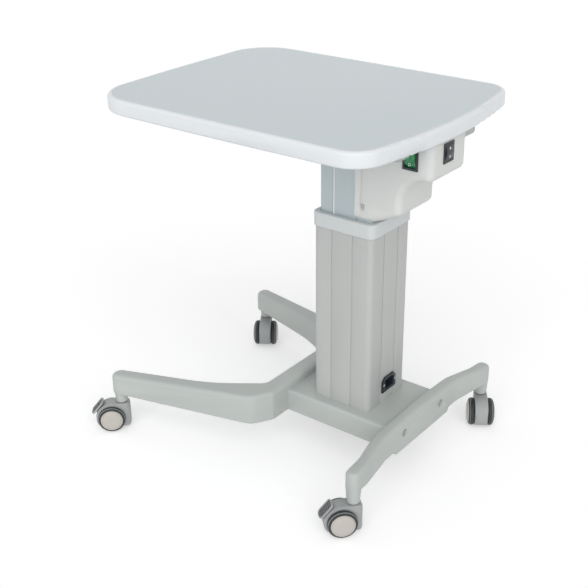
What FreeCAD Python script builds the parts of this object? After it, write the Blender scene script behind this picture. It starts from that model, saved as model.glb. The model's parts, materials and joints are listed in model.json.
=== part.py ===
"""Height-adjustable instrument table: one lifting column on a four-caster base, with an off-centre top.

Millimetres, +Z up, floor at Z = 0. X runs along the long side of the top and Y across it.
Every piece is drawn about the column's own axis and moved to the table's frame when it is saved.
"""
import FreeCAD, Part
import math
import os

Vector = FreeCAD.Vector
UP = Vector(0, 0, 1)

# Where the column's axis stands in the table's frame.
column_x = 125.52
column_y = 14.96

# Fits and clearances.
running_clearance = 0.05
slide_clearance = 0.1
free_clearance = 0.4
form_margin = 10.0
edge_band_clearance = 0.1

# Casters, drawn with the stem on the Z axis and the wheels trailing towards +X.
wheel_diameter = 50.0
tyre_thickness = 5.0
tyre_width = 10.3
tyre_crown_offset = 4.2
tyre_inner_drop = 1.6
tyre_shoulder_drop = 3.8
wheel_gap = 24.0
hub_dish = 3.0
hub_dish_rim = 8.5
hub_dish_bend = 2.8
hub_dish_bend_rise = 2.25
hub_end_wall = 4.8
caster_trail = 20.0
hood_width = 23.4
hood_shell_radius = 28.5
hood_bottom = 6.5
hood_nose_reach = 14.5
hood_nose_top_radius = 7.0
hood_nose_low_radius = 6.0
hood_nose_side_radius = 9.0
hood_tail_low_radius = 15.0
hood_tail_side_radius = 5.0
axle_radius = 3.0
axle_overlap_in_hub = 7.5
stem_radius = 5.0
stem_neck_radius = 7.0
stem_depth_in_hood = 23.0
stem_depth_in_beam = 28.0
lever_web_width = 6.0
lever_web_low_angle = 30.0
lever_web_high_angle = 52.0
lever_eye_radius = 6.5
lever_travel = 20.0
pedal_angle = 40.0
pedal_stand_off = 1.6
pedal_length = 32.0
pedal_width = 22.0
pedal_thickness = 3.4
pedal_corner_radius = 7.0
slot_end_clearance = 4.0
caster_places = {
    "front_near": {"trail_angle": 224.0, "brake": True},
    "rear_near": {"trail_angle": 227.0, "brake": True},
    "rear_far": {"trail_angle": -56.0, "brake": False},
    "front_far": {"trail_angle": -56.0, "brake": False},
}

# Base.
front_stem_x = -378.0
rear_stem_x = 131.0
front_stem_y = 210.0
rear_stem_y = 205.0
boss_bottom = 55.5
boss_bottom_radius = 10.5
boss_top_radius = 12.5
boss_height = 26.0
plate_bottom = 73.5
plate_top = 113.0
plate_half_width = 77.0
plate_wall = 5.0
plate_lug_length = 20.0
plate_corner_radius = 6.0
cross_bar_face_x = -97.0
cross_bar_inner_x = -131.0
cross_bar_half_length = 118.0
cross_bar_inner_half_length = 96.0
cross_bar_corner_radius = 10.0
root_radius = 14.0
front_beam_top = 129.0
front_beam_top_at_end = 109.0
leg_knee_x = -215.0
leg_knee_y = 146.0
leg_knee_radius = 300.0
leg_end_inner_reach = 13.0
leg_end_inner_offset = 15.0
leg_end_outer_reach = 20.0
leg_end_outer_offset = 17.5
leg_end_radius = 14.0
leg_shoulder_x = -118.0
leg_shoulder_y = 154.9
leg_shoulder_radius = 32.0
beam_wall = 6.0
beam_top_radius = 8.0
rear_beam_inner_x = 106.0
rear_beam_outer_x = 131.0
rear_beam_straight_half = 112.0
rear_arm_straight_y = 188.0
rear_bend_radius = 60.0
rear_beam_top = 126.0
rear_beam_top_past_end = 110.0
rear_arm_bottom = 81.0
rear_beam_foot_half = 82.0
rear_arm_end_radius = 12.5
rear_arm_end_corner = 12.0
rear_arm_inner_bend_y = 174.0
rear_beam_foot_slope = 6.0
bolt_radius = 4.0
bolt_head_radius = 6.5
bolt_head_length = 8.0
bolt_socket_radius = 3.0
bolt_socket_depth = 4.8
bolt_sink = 9.0
bolt_tip_clearance = 2.0
bolt_y = 57.5
bolt_z = 104.0
bolt_lug_half_width = 12.0
bolt_hole_length = 60.0
column_screw_offset = 43.0
column_screw_radius = 3.0
column_screw_head_radius = 5.5
column_screw_head_length = 5.0

# Column.
outer_tube_x = 112.5
outer_tube_y = 112.0
outer_tube_wall = 3.0
outer_tube_corner = 9.0
outer_tube_below_collar_top = 6.5
groove_offset = 20.0
groove_width = 2.4
groove_depth = 1.0
tube_gap_x = 3.25
tube_gap_y = 4.0
inner_tube_wall = 3.0
inner_tube_corner = 6.0
inner_tube_bottom = 172.0
inner_groove_offset = 22.0
inner_groove_width = 4.0
collar_height = 23.8
collar_wall = 2.8
collar_corner = 12.0
collar_edge_radius = 2.0
guide_pad_height = 32.0
guide_pad_width = 26.0
guide_pad_spread = 34.0
glide_height = 30.0
inner_groove_start = 34.0
lift_travel = 200.0

# Drive in the column's foot.
foot_height = 15.0
foot_rim = 16.0
foot_roof = 5.0
gearbox_x = 56.0
gearbox_y = 92.0
gearbox_height = 28.0
drive_edge_radius = 3.0
motor_radius = 20.0
motor_length = 84.0
motor_cap_radius = 12.0
motor_cap_length = 6.0
motor_y = -22.0
spindle_y = 24.0
spindle_radius = 7.0
spindle_journal_radius = 6.0
spindle_shoulder_radius = 10.0
spindle_shoulder_length = 7.0
spindle_floor = 10.0
spindle_end_reserve = 9.0
bearing_radius = 16.0
bearing_height = 12.0
nut_radius = 16.0
nut_height = 26.0
nut_rest_gap = 22.0
push_tube_radius = 14.0
push_tube_wall = 4.0

# Mains inlet.
inlet_y = 4.0
inlet_z = 146.0
inlet_flange_y = 40.0
inlet_flange_z = 28.0
inlet_flange_thickness = 3.0
inlet_chamfer = 7.0
inlet_body_y = 27.0
inlet_body_z = 20.5
inlet_body_depth = 22.0
inlet_mouth_y = 24.0
inlet_mouth_z = 16.8
inlet_mouth_depth = 19.0
blade_length = 11.0
blade_width = 2.0
blade_height = 4.0
blade_spread = 7.0
blade_rise = 2.0
inlet_screw_y = 16.6
inlet_screw_radius = 1.6
inlet_screw_head_radius = 2.6
inlet_screw_length = 8.0
small_screw_head = 1.6

# Top.
top_surface = 625.0
top_thickness = 25.0
top_left = -384.0
top_right = 137.0
top_half_depth = 216.5
top_bow_left = 4.0
top_bow_right = 27.0
top_bow_side = 2.5
top_corner_left = 78.0
top_corner_right = 50.0
edge_band_width = 8.0
edge_band_upper_radius = 6.0
edge_band_lower_radius = 4.0
edge_band_tongue = 7.0
edge_band_tongue_height = 3.0
board_recess = 0.6
head_plate_thickness = 6.0
cross_member_thickness = 6.0
rail_inner_y = 61.0
rail_width = 37.0
rail_height = 22.0
rail_wall = 2.5
rail_start_x = -250.0
rail_end_far = 140.0
rail_end_near = 122.0
rail_edge_radius = 5.0
cross_member_half_length = 60.0
end_member_width = 30.0
frame_screw_offset = 34.0
frame_screw_radius = 3.0
board_screw_xs = (-220.0, -80.0, 110.0)
board_screw_radius = 2.5
board_screw_bite = 12.0
top_screw_head_radius = 5.0
top_screw_head = 4.0

# Control housing.
housing_left = 18.5
housing_right = 153.0
housing_over_tube = 2.5
housing_drop = 147.5
housing_collar_gap = 1.0
housing_wall = 2.3
housing_corner = 11.0
housing_lobe_x = 101.0
housing_lobe_start_x = 50.0
housing_lobe_start_radius = 6.0
housing_lobe_rise = 21.5
housing_lobe_radius = 13.0
housing_shelf_drop = 63.0
housing_cove_radius = 42.0
housing_shelf_radius = 10.0
housing_screw_x = 33.0
housing_screw_drops = (122.5, 25.0)
housing_screw_radius = 2.0
housing_screw_head_radius = 3.6
housing_screw_length = 9.0
board_boss_radius = 3.5
board_boss_length = 5.0
circuit_board_thickness = 1.6
circuit_board_x = (92.0, 142.0)
circuit_board_drops = (54.0, 10.0)
relay_margin = 4.0
relay_pitch = 15.0
relay_width = 12.0
relay_low = 12.0
relay_height = 20.0
relay_depth = 12.0
power_supply_depth = 34.0
power_supply_half_width = 40.0
power_supply_drops = (112.0, 38.0)

# Rocker switches, drawn with the face towards +X.
power_switch_x = 117.4
power_switch_drop = 29.7
power_switch_width = 26.0
power_switch_height = 33.0
lift_switch_y = -4.8
lift_switch_drop = 23.6
lift_switch_width = 27.6
lift_switch_height = 31.0
bezel_thickness = 2.0
bezel_flange = 2.0
sleeve_wall = 1.5
sleeve_depth = 14.0
rocker_tilt = 12.0
rocker_rise = 3.0
rocker_half_depth = 5.0
rocker_apex = 5.5
rocker_gap = 0.3
pin_radius = 1.2

# Derived places.
axle_z = wheel_diameter / 2
hood_half_width = hood_width / 2
hood_top = axle_z + hood_shell_radius
wheel_inner_face = wheel_gap / 2
hub_radius = wheel_diameter / 2 - tyre_thickness
foot_top = plate_top + foot_height
gearbox_top = foot_top + gearbox_height
bearing_top = gearbox_top + bearing_height
spindle_shoulder_bottom = bearing_top + slide_clearance
spindle_shoulder_top = spindle_shoulder_bottom + spindle_shoulder_length
nut_bottom = bearing_top + nut_rest_gap
nut_top = nut_bottom + nut_height
spindle_top = nut_top + lift_travel + spindle_end_reserve
board_underside = top_surface - top_thickness
inner_tube_x = outer_tube_x - 2 * (outer_tube_wall + tube_gap_x)
inner_tube_y = outer_tube_y - 2 * (outer_tube_wall + tube_gap_y)
housing_half_depth = inner_tube_y / 2 + housing_over_tube
housing_bottom = board_underside - housing_drop
housing_shelf_z = board_underside - housing_shelf_drop
collar_top = housing_bottom - housing_collar_gap
collar_bottom = collar_top - collar_height
outer_tube_top = collar_top - outer_tube_below_collar_top
housing_screw_zs = [board_underside - drop for drop in housing_screw_drops]
circuit_board_z = [board_underside - drop for drop in circuit_board_drops]
power_supply_z = [board_underside - drop for drop in power_supply_drops]
power_switch_z = board_underside - power_switch_drop
lift_switch_z = board_underside - lift_switch_drop
cross_member_bottom = board_underside - cross_member_thickness
head_plate_bottom = cross_member_bottom - head_plate_thickness
rail_bottom = board_underside - rail_height
rail_middle_y = rail_inner_y + rail_width / 2
switch_pin_depth = rocker_rise - bezel_thickness


def block(x_low, x_high, y_low, y_high, z_low, z_high):
    """A rectangular block between two opposite corners."""
    return Part.makeBox(x_high - x_low, y_high - y_low, z_high - z_low, Vector(x_low, y_low, z_low))


def rod(radius, start, direction, length):
    """A round bar from a start point."""
    return Part.makeCylinder(radius, length, Vector(*start), Vector(*direction))


def ring(outer_radius, inner_radius, start, direction, length):
    """A round tube from a start point."""
    return rod(outer_radius, start, direction, length).cut(rod(inner_radius, start, direction, length))


def path_face(start, steps):
    """A flat face inside lines and arcs; a step is (end,) for a line and (middle, end) for an arc."""
    edges = []
    here = Vector(*start)
    for step in steps:
        there = Vector(*step[-1])
        if len(step) == 1:
            edges.append(Part.makeLine(here, there))
        else:
            edges.append(Part.Arc(here, Vector(*step[0]), there).toShape())
        here = there
    return Part.Face(Part.Wire(edges))


def rounded_face(corners, place=lambda u, v: Vector(u, v, 0)):
    """A flat face from corners (u, v, radius); place puts a drawing point into space."""
    turns = []
    for index, (u, v, radius) in enumerate(corners):
        corner = Vector(u, v, 0)
        if radius == 0:
            turns.append((corner, None, corner))
            continue
        before = corners[index - 1]
        after = corners[(index + 1) % len(corners)]
        back = Vector(before[0] - u, before[1] - v, 0).normalize()
        ahead = Vector(after[0] - u, after[1] - v, 0).normalize()
        half_angle = back.getAngle(ahead) / 2
        reach = radius / math.tan(half_angle)
        inwards = (back + ahead).normalize()
        depth = radius / math.sin(half_angle) - radius
        turns.append((corner + back * reach, corner + inwards * depth, corner + ahead * reach))
    edges = []
    for index, (start, middle, end) in enumerate(turns):
        if middle is not None:
            arc = Part.Arc(place(start.x, start.y), place(middle.x, middle.y), place(end.x, end.y))
            edges.append(arc.toShape())
        following = turns[(index + 1) % len(turns)][0]
        if end.distanceToPoint(following) > 0.001:
            edges.append(Part.makeLine(place(end.x, end.y), place(following.x, following.y)))
    return Part.Face(Part.Wire(edges))


def both_sides(corners):
    """Corners on the +Y side, then the same corners on the -Y side in the reverse order."""
    return corners + [(x, -y, radius) for x, y, radius in reversed(corners)]


def polygon_prism(points, direction):
    """A straight-sided outline pushed along a direction."""
    steps = [(point,) for point in points[1:] + points[:1]]
    return path_face(points[0], steps).extrude(Vector(*direction))


def inset_prism(face, inset, direction):
    """A prism on a face whose edge is moved inwards."""
    if inset:
        face = Part.Face(face.OuterWire.makeOffset2D(-inset))
    return face.extrude(Vector(*direction))


def upright_edges(shape):
    """The straight edges that run along Z."""
    found = []
    for edge in shape.Edges:
        if edge.Curve.TypeId == "Part::GeomLine" and abs(edge.tangentAt(edge.FirstParameter).z) > 0.999:
            found.append(edge)
    return found


def level_edges(shape, height):
    """The edges that lie wholly at one height."""
    found = []
    for edge in shape.Edges:
        box = edge.BoundBox
        if abs(box.ZMin - height) < 0.01 and abs(box.ZMax - height) < 0.01:
            found.append(edge)
    return found


def post(width_x, width_y, corner, z_low, z_high):
    """A square post on the column's axis with rounded upright corners."""
    body = block(-width_x / 2, width_x / 2, -width_y / 2, width_y / 2, z_low, z_high)
    return body.makeFillet(corner, upright_edges(body))


def fuse_all(shapes):
    """One solid from touching or crossing solids."""
    body = shapes[0].multiFuse(shapes[1:])
    return body.removeSplitter()


def mirrored_y(shape):
    """The same shape on the other side of the XZ plane."""
    return shape.mirror(Vector(0, 0, 0), Vector(0, 1, 0))


def turned(shape, degrees, axis=UP, centre=Vector(0, 0, 0)):
    """A turned copy."""
    copy = shape.copy()
    copy.rotate(centre, axis, degrees)
    return copy


def moved(shape, x, y, z):
    """A shifted copy."""
    copy = shape.copy()
    copy.translate(Vector(x, y, z))
    return copy


def save(name, *shapes):
    """Move solids to the table's frame and write them as one node."""
    solids = []
    for shape in shapes:
        solids.extend(moved(shape, column_x, column_y, 0).Solids)
    node = solids[0] if len(solids) == 1 else Part.makeCompound(solids)
    node.exportStep(os.path.join("parts", name + ".step"))
    volume = sum(solid.Volume for solid in solids)
    valid = all(solid.isValid() for solid in solids)
    print(f"{name}: {len(solids)} solid(s), {volume:.0f} mm3, valid {valid}")


# Casters ------------------------------------------------------------------------------------------

def polar(radius, degrees):
    """A point about the axle in the caster's own XZ plane."""
    angle = math.radians(degrees)
    return (caster_trail + radius * math.cos(angle), 0, axle_z + radius * math.sin(angle))


def across(shape_face, width):
    """A face in the XZ plane pushed out to both sides of it."""
    body = shape_face.extrude(Vector(0, width, 0))
    body.translate(Vector(0, -width / 2, 0))
    return body


def sector(inner_radius, outer_radius, low_angle, high_angle, width):
    """A curved slab about the axle."""
    middle = (low_angle + high_angle) / 2
    face = path_face(polar(inner_radius, low_angle), [
        (polar(outer_radius, low_angle),),
        (polar(outer_radius, middle), polar(outer_radius, high_angle)),
        (polar(inner_radius, high_angle),),
        (polar(inner_radius, middle), polar(inner_radius, low_angle)),
    ])
    return across(face, width)


def axle_rod(radius, low, high):
    """A bar along the wheels' axis."""
    return rod(radius, (caster_trail, low, axle_z), (0, 1, 0), high - low)


def hood_form():
    """The hood's outer form: a drum over the axle with a nose under the stem, rounded in plan."""
    tail_x = caster_trail + hood_shell_radius
    side_view = rounded_face([
        (-hood_nose_reach, hood_bottom, hood_nose_low_radius),
        (tail_x, hood_bottom, hood_tail_low_radius),
        (tail_x, hood_top, hood_shell_radius),
        (-hood_nose_reach, hood_top, hood_nose_top_radius),
    ], lambda x, z: Vector(x, 0, z))
    plan = rounded_face([
        (-hood_nose_reach, -hood_half_width, hood_nose_side_radius),
        (tail_x, -hood_half_width, hood_tail_side_radius),
        (tail_x, hood_half_width, hood_tail_side_radius),
        (-hood_nose_reach, hood_half_width, hood_nose_side_radius),
    ])
    return across(side_view, hood_width).common(plan.extrude(Vector(0, 0, hood_top + 1)))


def caster_hood(brake):
    """The body between the two wheels, with the socket for the stem."""
    body = hood_form()
    socket_bottom = hood_top - stem_depth_in_hood - 1
    socket = rod(stem_radius + running_clearance, (0, 0, socket_bottom), (0, 0, 1), hood_top)
    body = body.cut(socket)
    body = body.cut(axle_rod(axle_radius, -hood_width, hood_width))
    if brake:
        slot_width = lever_web_width + 2 * free_clearance
        slot_low_angle = lever_web_low_angle - lever_travel - slot_end_clearance
        slot = sector(axle_radius, hood_shell_radius + 1, slot_low_angle,
                      lever_web_high_angle + slot_end_clearance, slot_width)
        eye_room = axle_rod(lever_eye_radius + free_clearance, -slot_width / 2, slot_width / 2)
        body = body.cut(slot.fuse(eye_room))
    return body


def brake_lever():
    """A web that turns on the axle, with a flat pedal that stands off the hood."""
    pedal_bottom = hood_shell_radius + pedal_stand_off
    web = sector(axle_radius + running_clearance, pedal_bottom + 1, lever_web_low_angle,
                 lever_web_high_angle, lever_web_width)
    eye = axle_rod(lever_eye_radius, -lever_web_width / 2, lever_web_width / 2)
    pedal = block(-pedal_length / 2, pedal_length / 2, -pedal_width / 2, pedal_width / 2,
                  pedal_bottom, pedal_bottom + pedal_thickness)
    pedal = pedal.makeFillet(pedal_corner_radius, upright_edges(pedal))
    pedal = turned(pedal, 90 - pedal_angle, Vector(0, 1, 0))
    lever = fuse_all([web, eye, moved(pedal, caster_trail, 0, axle_z)])
    return lever.cut(axle_rod(axle_radius + running_clearance, -hood_width, hood_width))


def crown_middle(run, drop):
    """How far a tread arc has dropped half way along its run."""
    radius = (run ** 2 + drop ** 2) / (2 * drop)
    return radius - math.sqrt(radius ** 2 - (run / 2) ** 2)


def tyre():
    """A barrel-shaped tyre on the +Y side of the hood."""
    outer = wheel_inner_face + tyre_width
    crown = wheel_inner_face + tyre_crown_offset
    shoulder_run = outer - crown
    top = axle_z + wheel_diameter / 2
    inner_middle = top - crown_middle(tyre_crown_offset, tyre_inner_drop)
    outer_middle = top - crown_middle(shoulder_run, tyre_shoulder_drop)
    face = path_face((caster_trail, wheel_inner_face, axle_z + hub_radius), [
        ((caster_trail, wheel_inner_face, top - tyre_inner_drop),),
        ((caster_trail, wheel_inner_face + tyre_crown_offset / 2, inner_middle),
         (caster_trail, crown, top)),
        ((caster_trail, crown + shoulder_run / 2, outer_middle),
         (caster_trail, outer, top - tyre_shoulder_drop)),
        ((caster_trail, outer, axle_z + hub_radius),),
        ((caster_trail, wheel_inner_face, axle_z + hub_radius),),
    ])
    return face.revolve(Vector(caster_trail, 0, axle_z), Vector(0, 1, 0), 360)


def hub():
    """A wheel hub with a domed cap, on the +Y side of the hood."""
    inner = wheel_inner_face + slide_clearance
    flat = wheel_inner_face + tyre_width
    crown = flat + hub_dish
    shoulder = hub_radius - hub_dish_rim
    face = path_face((caster_trail, inner, axle_z), [
        ((caster_trail + hub_radius, inner, axle_z),),
        ((caster_trail + hub_radius, flat, axle_z),),
        ((caster_trail + hub_radius - hub_dish_bend, flat + hub_dish_bend_rise, axle_z),
         (caster_trail + shoulder, crown, axle_z)),
        ((caster_trail, crown, axle_z),),
        ((caster_trail, inner, axle_z),),
    ])
    body = face.revolve(Vector(caster_trail, 0, axle_z), Vector(0, 1, 0), 360)
    return body.cut(axle_rod(axle_radius + running_clearance, 0, crown - hub_end_wall))


def place_caster(shape, name):
    """A caster piece turned to its trail and set under its beam end."""
    side = -1 if name.endswith("near") else 1
    stem_x, stem_y = (front_stem_x, front_stem_y) if name.startswith("front") else (rear_stem_x, rear_stem_y)
    return moved(turned(shape, caster_places[name]["trail_angle"]), stem_x, side * stem_y, 0)


def caster_stem():
    """A stem: a journal in the hood, a neck, and a screwed end in the beam."""
    journal = rod(stem_radius, (0, 0, hood_top - stem_depth_in_hood), (0, 0, 1), stem_depth_in_hood + 1)
    neck_bottom = hood_top + slide_clearance
    neck = rod(stem_neck_radius, (0, 0, neck_bottom), (0, 0, 1), boss_bottom - neck_bottom)
    thread = rod(stem_radius, (0, 0, boss_bottom - 1), (0, 0, 1), stem_depth_in_beam + 1)
    return fuse_all([journal, neck, thread])


def build_casters():
    axle_half = wheel_inner_face + axle_overlap_in_hub
    axle = axle_rod(axle_radius, -axle_half, axle_half)
    tyre_far = tyre()
    hub_far = hub()
    for name, place in caster_places.items():
        save("hood_" + name, place_caster(caster_hood(place["brake"]), name))
        save("axle_" + name, place_caster(axle, name))
        save("tyre_" + name + "_left", place_caster(tyre_far, name))
        save("tyre_" + name + "_right", place_caster(mirrored_y(tyre_far), name))
        save("hub_" + name + "_left", place_caster(hub_far, name))
        save("hub_" + name + "_right", place_caster(mirrored_y(hub_far), name))
        if place["brake"]:
            save("brake_lever_" + name, place_caster(brake_lever(), name))
    save("caster_stems", *[place_caster(caster_stem(), name) for name in caster_places])


# Base ---------------------------------------------------------------------------------------------

def bolt(x, direction, y, length):
    """A socket screw lying along X, with its head sunk below the beam's face."""
    head = rod(bolt_head_radius, (x, y, bolt_z), (direction, 0, 0), bolt_head_length)
    shank = rod(bolt_radius, (x, y, bolt_z), (direction, 0, 0), length)
    socket = rod(bolt_socket_radius, (x, y, bolt_z), (direction, 0, 0), bolt_socket_depth)
    return fuse_all([head, shank]).cut(socket)


def bolt_hole(x_face, direction, y):
    """The counterbore and hole for one socket screw."""
    sink = rod(bolt_head_radius + free_clearance, (x_face, y, bolt_z), (direction, 0, 0),
               bolt_sink + bolt_head_length - 1)
    hole = rod(bolt_radius, (x_face, y, bolt_z), (direction, 0, 0), bolt_hole_length)
    return sink.fuse(hole)


def boss(stem_x, stem_y, z_high):
    """The tapered boss under a beam end, with solid metal above it for the stem."""
    cone = Part.makeCone(boss_bottom_radius, boss_top_radius, boss_height,
                         Vector(stem_x, stem_y, boss_bottom), UP)
    core = rod(boss_bottom_radius, (stem_x, stem_y, plate_bottom), (0, 0, 1), z_high - plate_bottom)
    return cone.fuse(core)


def stem_hole(stem_x, stem_y):
    """The hole that a stem screws into."""
    return rod(stem_radius, (stem_x, stem_y, boss_bottom - 1), (0, 0, 1), stem_depth_in_beam + 1)


def front_beam_form(inset):
    """The front beam's outer form, or the hollow inside it."""
    plan = rounded_face(both_sides([
        (cross_bar_inner_x, cross_bar_inner_half_length, root_radius),
        (leg_knee_x, leg_knee_y, leg_knee_radius),
        (front_stem_x - leg_end_inner_reach, front_stem_y - leg_end_inner_offset, leg_end_radius),
        (front_stem_x - leg_end_outer_reach, front_stem_y + leg_end_outer_offset, leg_end_radius),
        (leg_shoulder_x, leg_shoulder_y, leg_shoulder_radius),
        (cross_bar_face_x, cross_bar_half_length, cross_bar_corner_radius),
    ]))
    prism = inset_prism(plan, inset, (0, 0, front_beam_top + 1))
    low = plate_bottom - 2 * inset
    past_end = front_stem_x - leg_end_outer_reach - form_margin
    past_face = cross_bar_face_x + form_margin
    side_view = polygon_prism([
        (past_end, -front_stem_y * 2, low),
        (past_face, -front_stem_y * 2, low),
        (past_face, -front_stem_y * 2, front_beam_top - inset),
        (past_end, -front_stem_y * 2, front_beam_top_at_end - inset),
    ], (0, front_stem_y * 4, 0))
    return prism.common(side_view).Solids[0]


def front_beam():
    form = front_beam_form(0)
    edges = [edge for edge in form.Edges if edge.BoundBox.ZMin > front_beam_top_at_end - 1]
    form = form.makeFillet(beam_top_radius, edges)
    beam = form.cut(front_beam_form(beam_wall))
    for side in (-1, 1):
        lug = block(cross_bar_inner_x + 1, cross_bar_face_x, side * bolt_y - bolt_lug_half_width,
                    side * bolt_y + bolt_lug_half_width, bolt_z - bolt_lug_half_width,
                    plate_top + 1)
        beam = beam.fuse([lug, boss(front_stem_x, side * front_stem_y,
                                    front_beam_top_at_end - beam_wall / 2)])
    beam = beam.removeSplitter()
    for side in (-1, 1):
        beam = beam.cut(bolt_hole(cross_bar_inner_x, 1, side * bolt_y))
        beam = beam.cut(stem_hole(front_stem_x, side * front_stem_y))
    return beam


def rear_beam_form(inset):
    """The rear beam's outer form, or the hollow inside it."""
    end_y = rear_stem_y + rear_arm_end_radius
    plan = rounded_face(both_sides([
        (rear_beam_outer_x, rear_beam_straight_half, rear_bend_radius),
        (rear_stem_x + rear_arm_end_radius, rear_arm_straight_y, rear_bend_radius),
        (rear_stem_x + rear_arm_end_radius, end_y, rear_arm_end_corner),
        (rear_stem_x - rear_arm_end_radius, end_y, rear_arm_end_corner),
        (rear_stem_x - rear_arm_end_radius, rear_arm_inner_bend_y, rear_bend_radius),
        (rear_beam_inner_x, rear_beam_straight_half, rear_bend_radius),
    ]))
    prism = inset_prism(plan, inset, (0, 0, rear_beam_top + 1))
    drop = 2 * inset
    x_low = rear_beam_inner_x - form_margin
    x_high = rear_stem_x + rear_arm_end_radius + form_margin
    foot = rear_beam_foot_half - inset
    past_end = end_y + form_margin
    crown = Part.BezierCurve()
    crown.setPoles([Vector(x_low, past_end, rear_beam_top_past_end - inset),
                    Vector(x_low, 0, 2 * rear_beam_top - rear_beam_top_past_end - inset),
                    Vector(x_low, -past_end, rear_beam_top_past_end - inset)])
    low_points = [
        (x_low, -past_end, rear_beam_top_past_end - inset),
        (x_low, -past_end, rear_arm_bottom - drop),
        (x_low, -foot - rear_beam_foot_slope, rear_arm_bottom - drop),
        (x_low, -foot, plate_bottom - drop),
        (x_low, foot, plate_bottom - drop),
        (x_low, foot + rear_beam_foot_slope, rear_arm_bottom - drop),
        (x_low, past_end, rear_arm_bottom - drop),
        (x_low, past_end, rear_beam_top_past_end - inset),
    ]
    lower = Part.makePolygon([Vector(*point) for point in low_points])
    outline = Part.Face(Part.Wire(lower.Edges + [crown.toShape()]))
    return prism.common(outline.extrude(Vector(x_high - x_low, 0, 0))).Solids[0]


def rear_beam():
    form = rear_beam_form(0)
    edges = [edge for edge in form.Edges if edge.BoundBox.ZMin > rear_beam_top_past_end]
    form = form.makeFillet(beam_top_radius, edges)
    beam = form.cut(rear_beam_form(beam_wall))
    for side in (-1, 1):
        lug = block(rear_beam_inner_x, rear_beam_outer_x - 1, side * bolt_y - bolt_lug_half_width,
                    side * bolt_y + bolt_lug_half_width, bolt_z - bolt_lug_half_width,
                    plate_top + 1)
        beam = beam.fuse([lug, boss(rear_stem_x, side * rear_stem_y,
                                    rear_beam_top_past_end - beam_wall / 2)])
    beam = beam.removeSplitter()
    for side in (-1, 1):
        beam = beam.cut(bolt_hole(rear_beam_outer_x, -1, side * bolt_y))
        beam = beam.cut(stem_hole(rear_stem_x, side * rear_stem_y))
    return beam


def column_screw_places():
    """The four corners where screws hold the column's foot."""
    return [(x, y) for x in (-column_screw_offset, column_screw_offset)
            for y in (-column_screw_offset, column_screw_offset)]


def base_plate():
    """A box plate, open below, with lugs for the beam screws."""
    outer = block(cross_bar_face_x, rear_beam_inner_x, -plate_half_width, plate_half_width,
                  plate_bottom, plate_top)
    long_edges = []
    for edge in level_edges(outer, plate_top):
        if edge.BoundBox.YLength < 0.01:
            long_edges.append(edge)
    outer = outer.makeFillet(plate_corner_radius, long_edges)
    room = block(cross_bar_face_x + plate_wall, rear_beam_inner_x - plate_wall,
                 plate_wall - plate_half_width, plate_half_width - plate_wall,
                 plate_bottom - 1, plate_top - plate_wall)
    plate = outer.cut(room)
    lugs = []
    for side in (-1, 1):
        y_low = side * bolt_y - bolt_lug_half_width
        y_high = side * bolt_y + bolt_lug_half_width
        z_low = bolt_z - bolt_lug_half_width
        lugs.append(block(cross_bar_face_x + 1, cross_bar_face_x + plate_lug_length, y_low, y_high,
                          z_low, plate_top - 1))
        lugs.append(block(rear_beam_inner_x - plate_lug_length, rear_beam_inner_x - 1, y_low, y_high,
                          z_low, plate_top - 1))
    plate = fuse_all([plate] + lugs)
    for side in (-1, 1):
        plate = plate.cut(rod(bolt_radius, (cross_bar_face_x - 1, side * bolt_y, bolt_z), (1, 0, 0),
                              plate_lug_length + 2))
        plate = plate.cut(rod(bolt_radius, (rear_beam_inner_x + 1, side * bolt_y, bolt_z), (-1, 0, 0),
                              plate_lug_length + 2))
    for x, y in column_screw_places():
        plate = plate.cut(rod(column_screw_radius, (x, y, plate_bottom), (0, 0, 1), plate_top))
    return plate


def base_screws():
    """Socket screws through the beams, and screws from below into the column's foot."""
    screws = []
    head_depth = bolt_sink - 1
    for side in (-1, 1):
        front_head = cross_bar_inner_x + head_depth
        rear_head = rear_beam_outer_x - head_depth
        front_length = cross_bar_face_x + plate_lug_length - bolt_tip_clearance - front_head
        rear_length = rear_head - rear_beam_inner_x + plate_lug_length - bolt_tip_clearance
        screws.append(bolt(front_head, 1, side * bolt_y, front_length))
        screws.append(bolt(rear_head, -1, side * bolt_y, rear_length))
    head_top = plate_top - plate_wall
    for x, y in column_screw_places():
        head = rod(column_screw_head_radius, (x, y, head_top - column_screw_head_length), (0, 0, 1),
                   column_screw_head_length)
        shank = rod(column_screw_radius, (x, y, head_top - 1), (0, 0, 1), plate_wall + foot_height - 1)
        screws.append(fuse_all([head, shank]))
    return screws


def build_base():
    save("front_beam", front_beam())
    save("rear_beam", rear_beam())
    save("base_plate", base_plate())
    save("base_screws", *base_screws())


# Column and drive ---------------------------------------------------------------------------------

def cut_grooves(tube, width_x, width_y, offset, width, z_low, z_high):
    """Two shallow upright grooves on each face of a tube."""
    for place in (-offset, offset):
        for side in (-1, 1):
            y_face = side * width_y / 2
            x_face = side * width_x / 2
            tube = tube.cut(block(place - width / 2, place + width / 2, y_face - groove_depth,
                                  y_face + groove_depth, z_low, z_high))
            tube = tube.cut(block(x_face - groove_depth, x_face + groove_depth, place - width / 2,
                                  place + width / 2, z_low, z_high))
    return tube


def inlet_opening():
    """The hole in the column's foot that the mains inlet fills."""
    half_y = inlet_body_y / 2
    half_z = inlet_body_z / 2
    return block(outer_tube_x / 2 - outer_tube_wall - 1, outer_tube_x / 2 + 1, inlet_y - half_y,
                 inlet_y + half_y, inlet_z - half_z, inlet_z + half_z)


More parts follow.
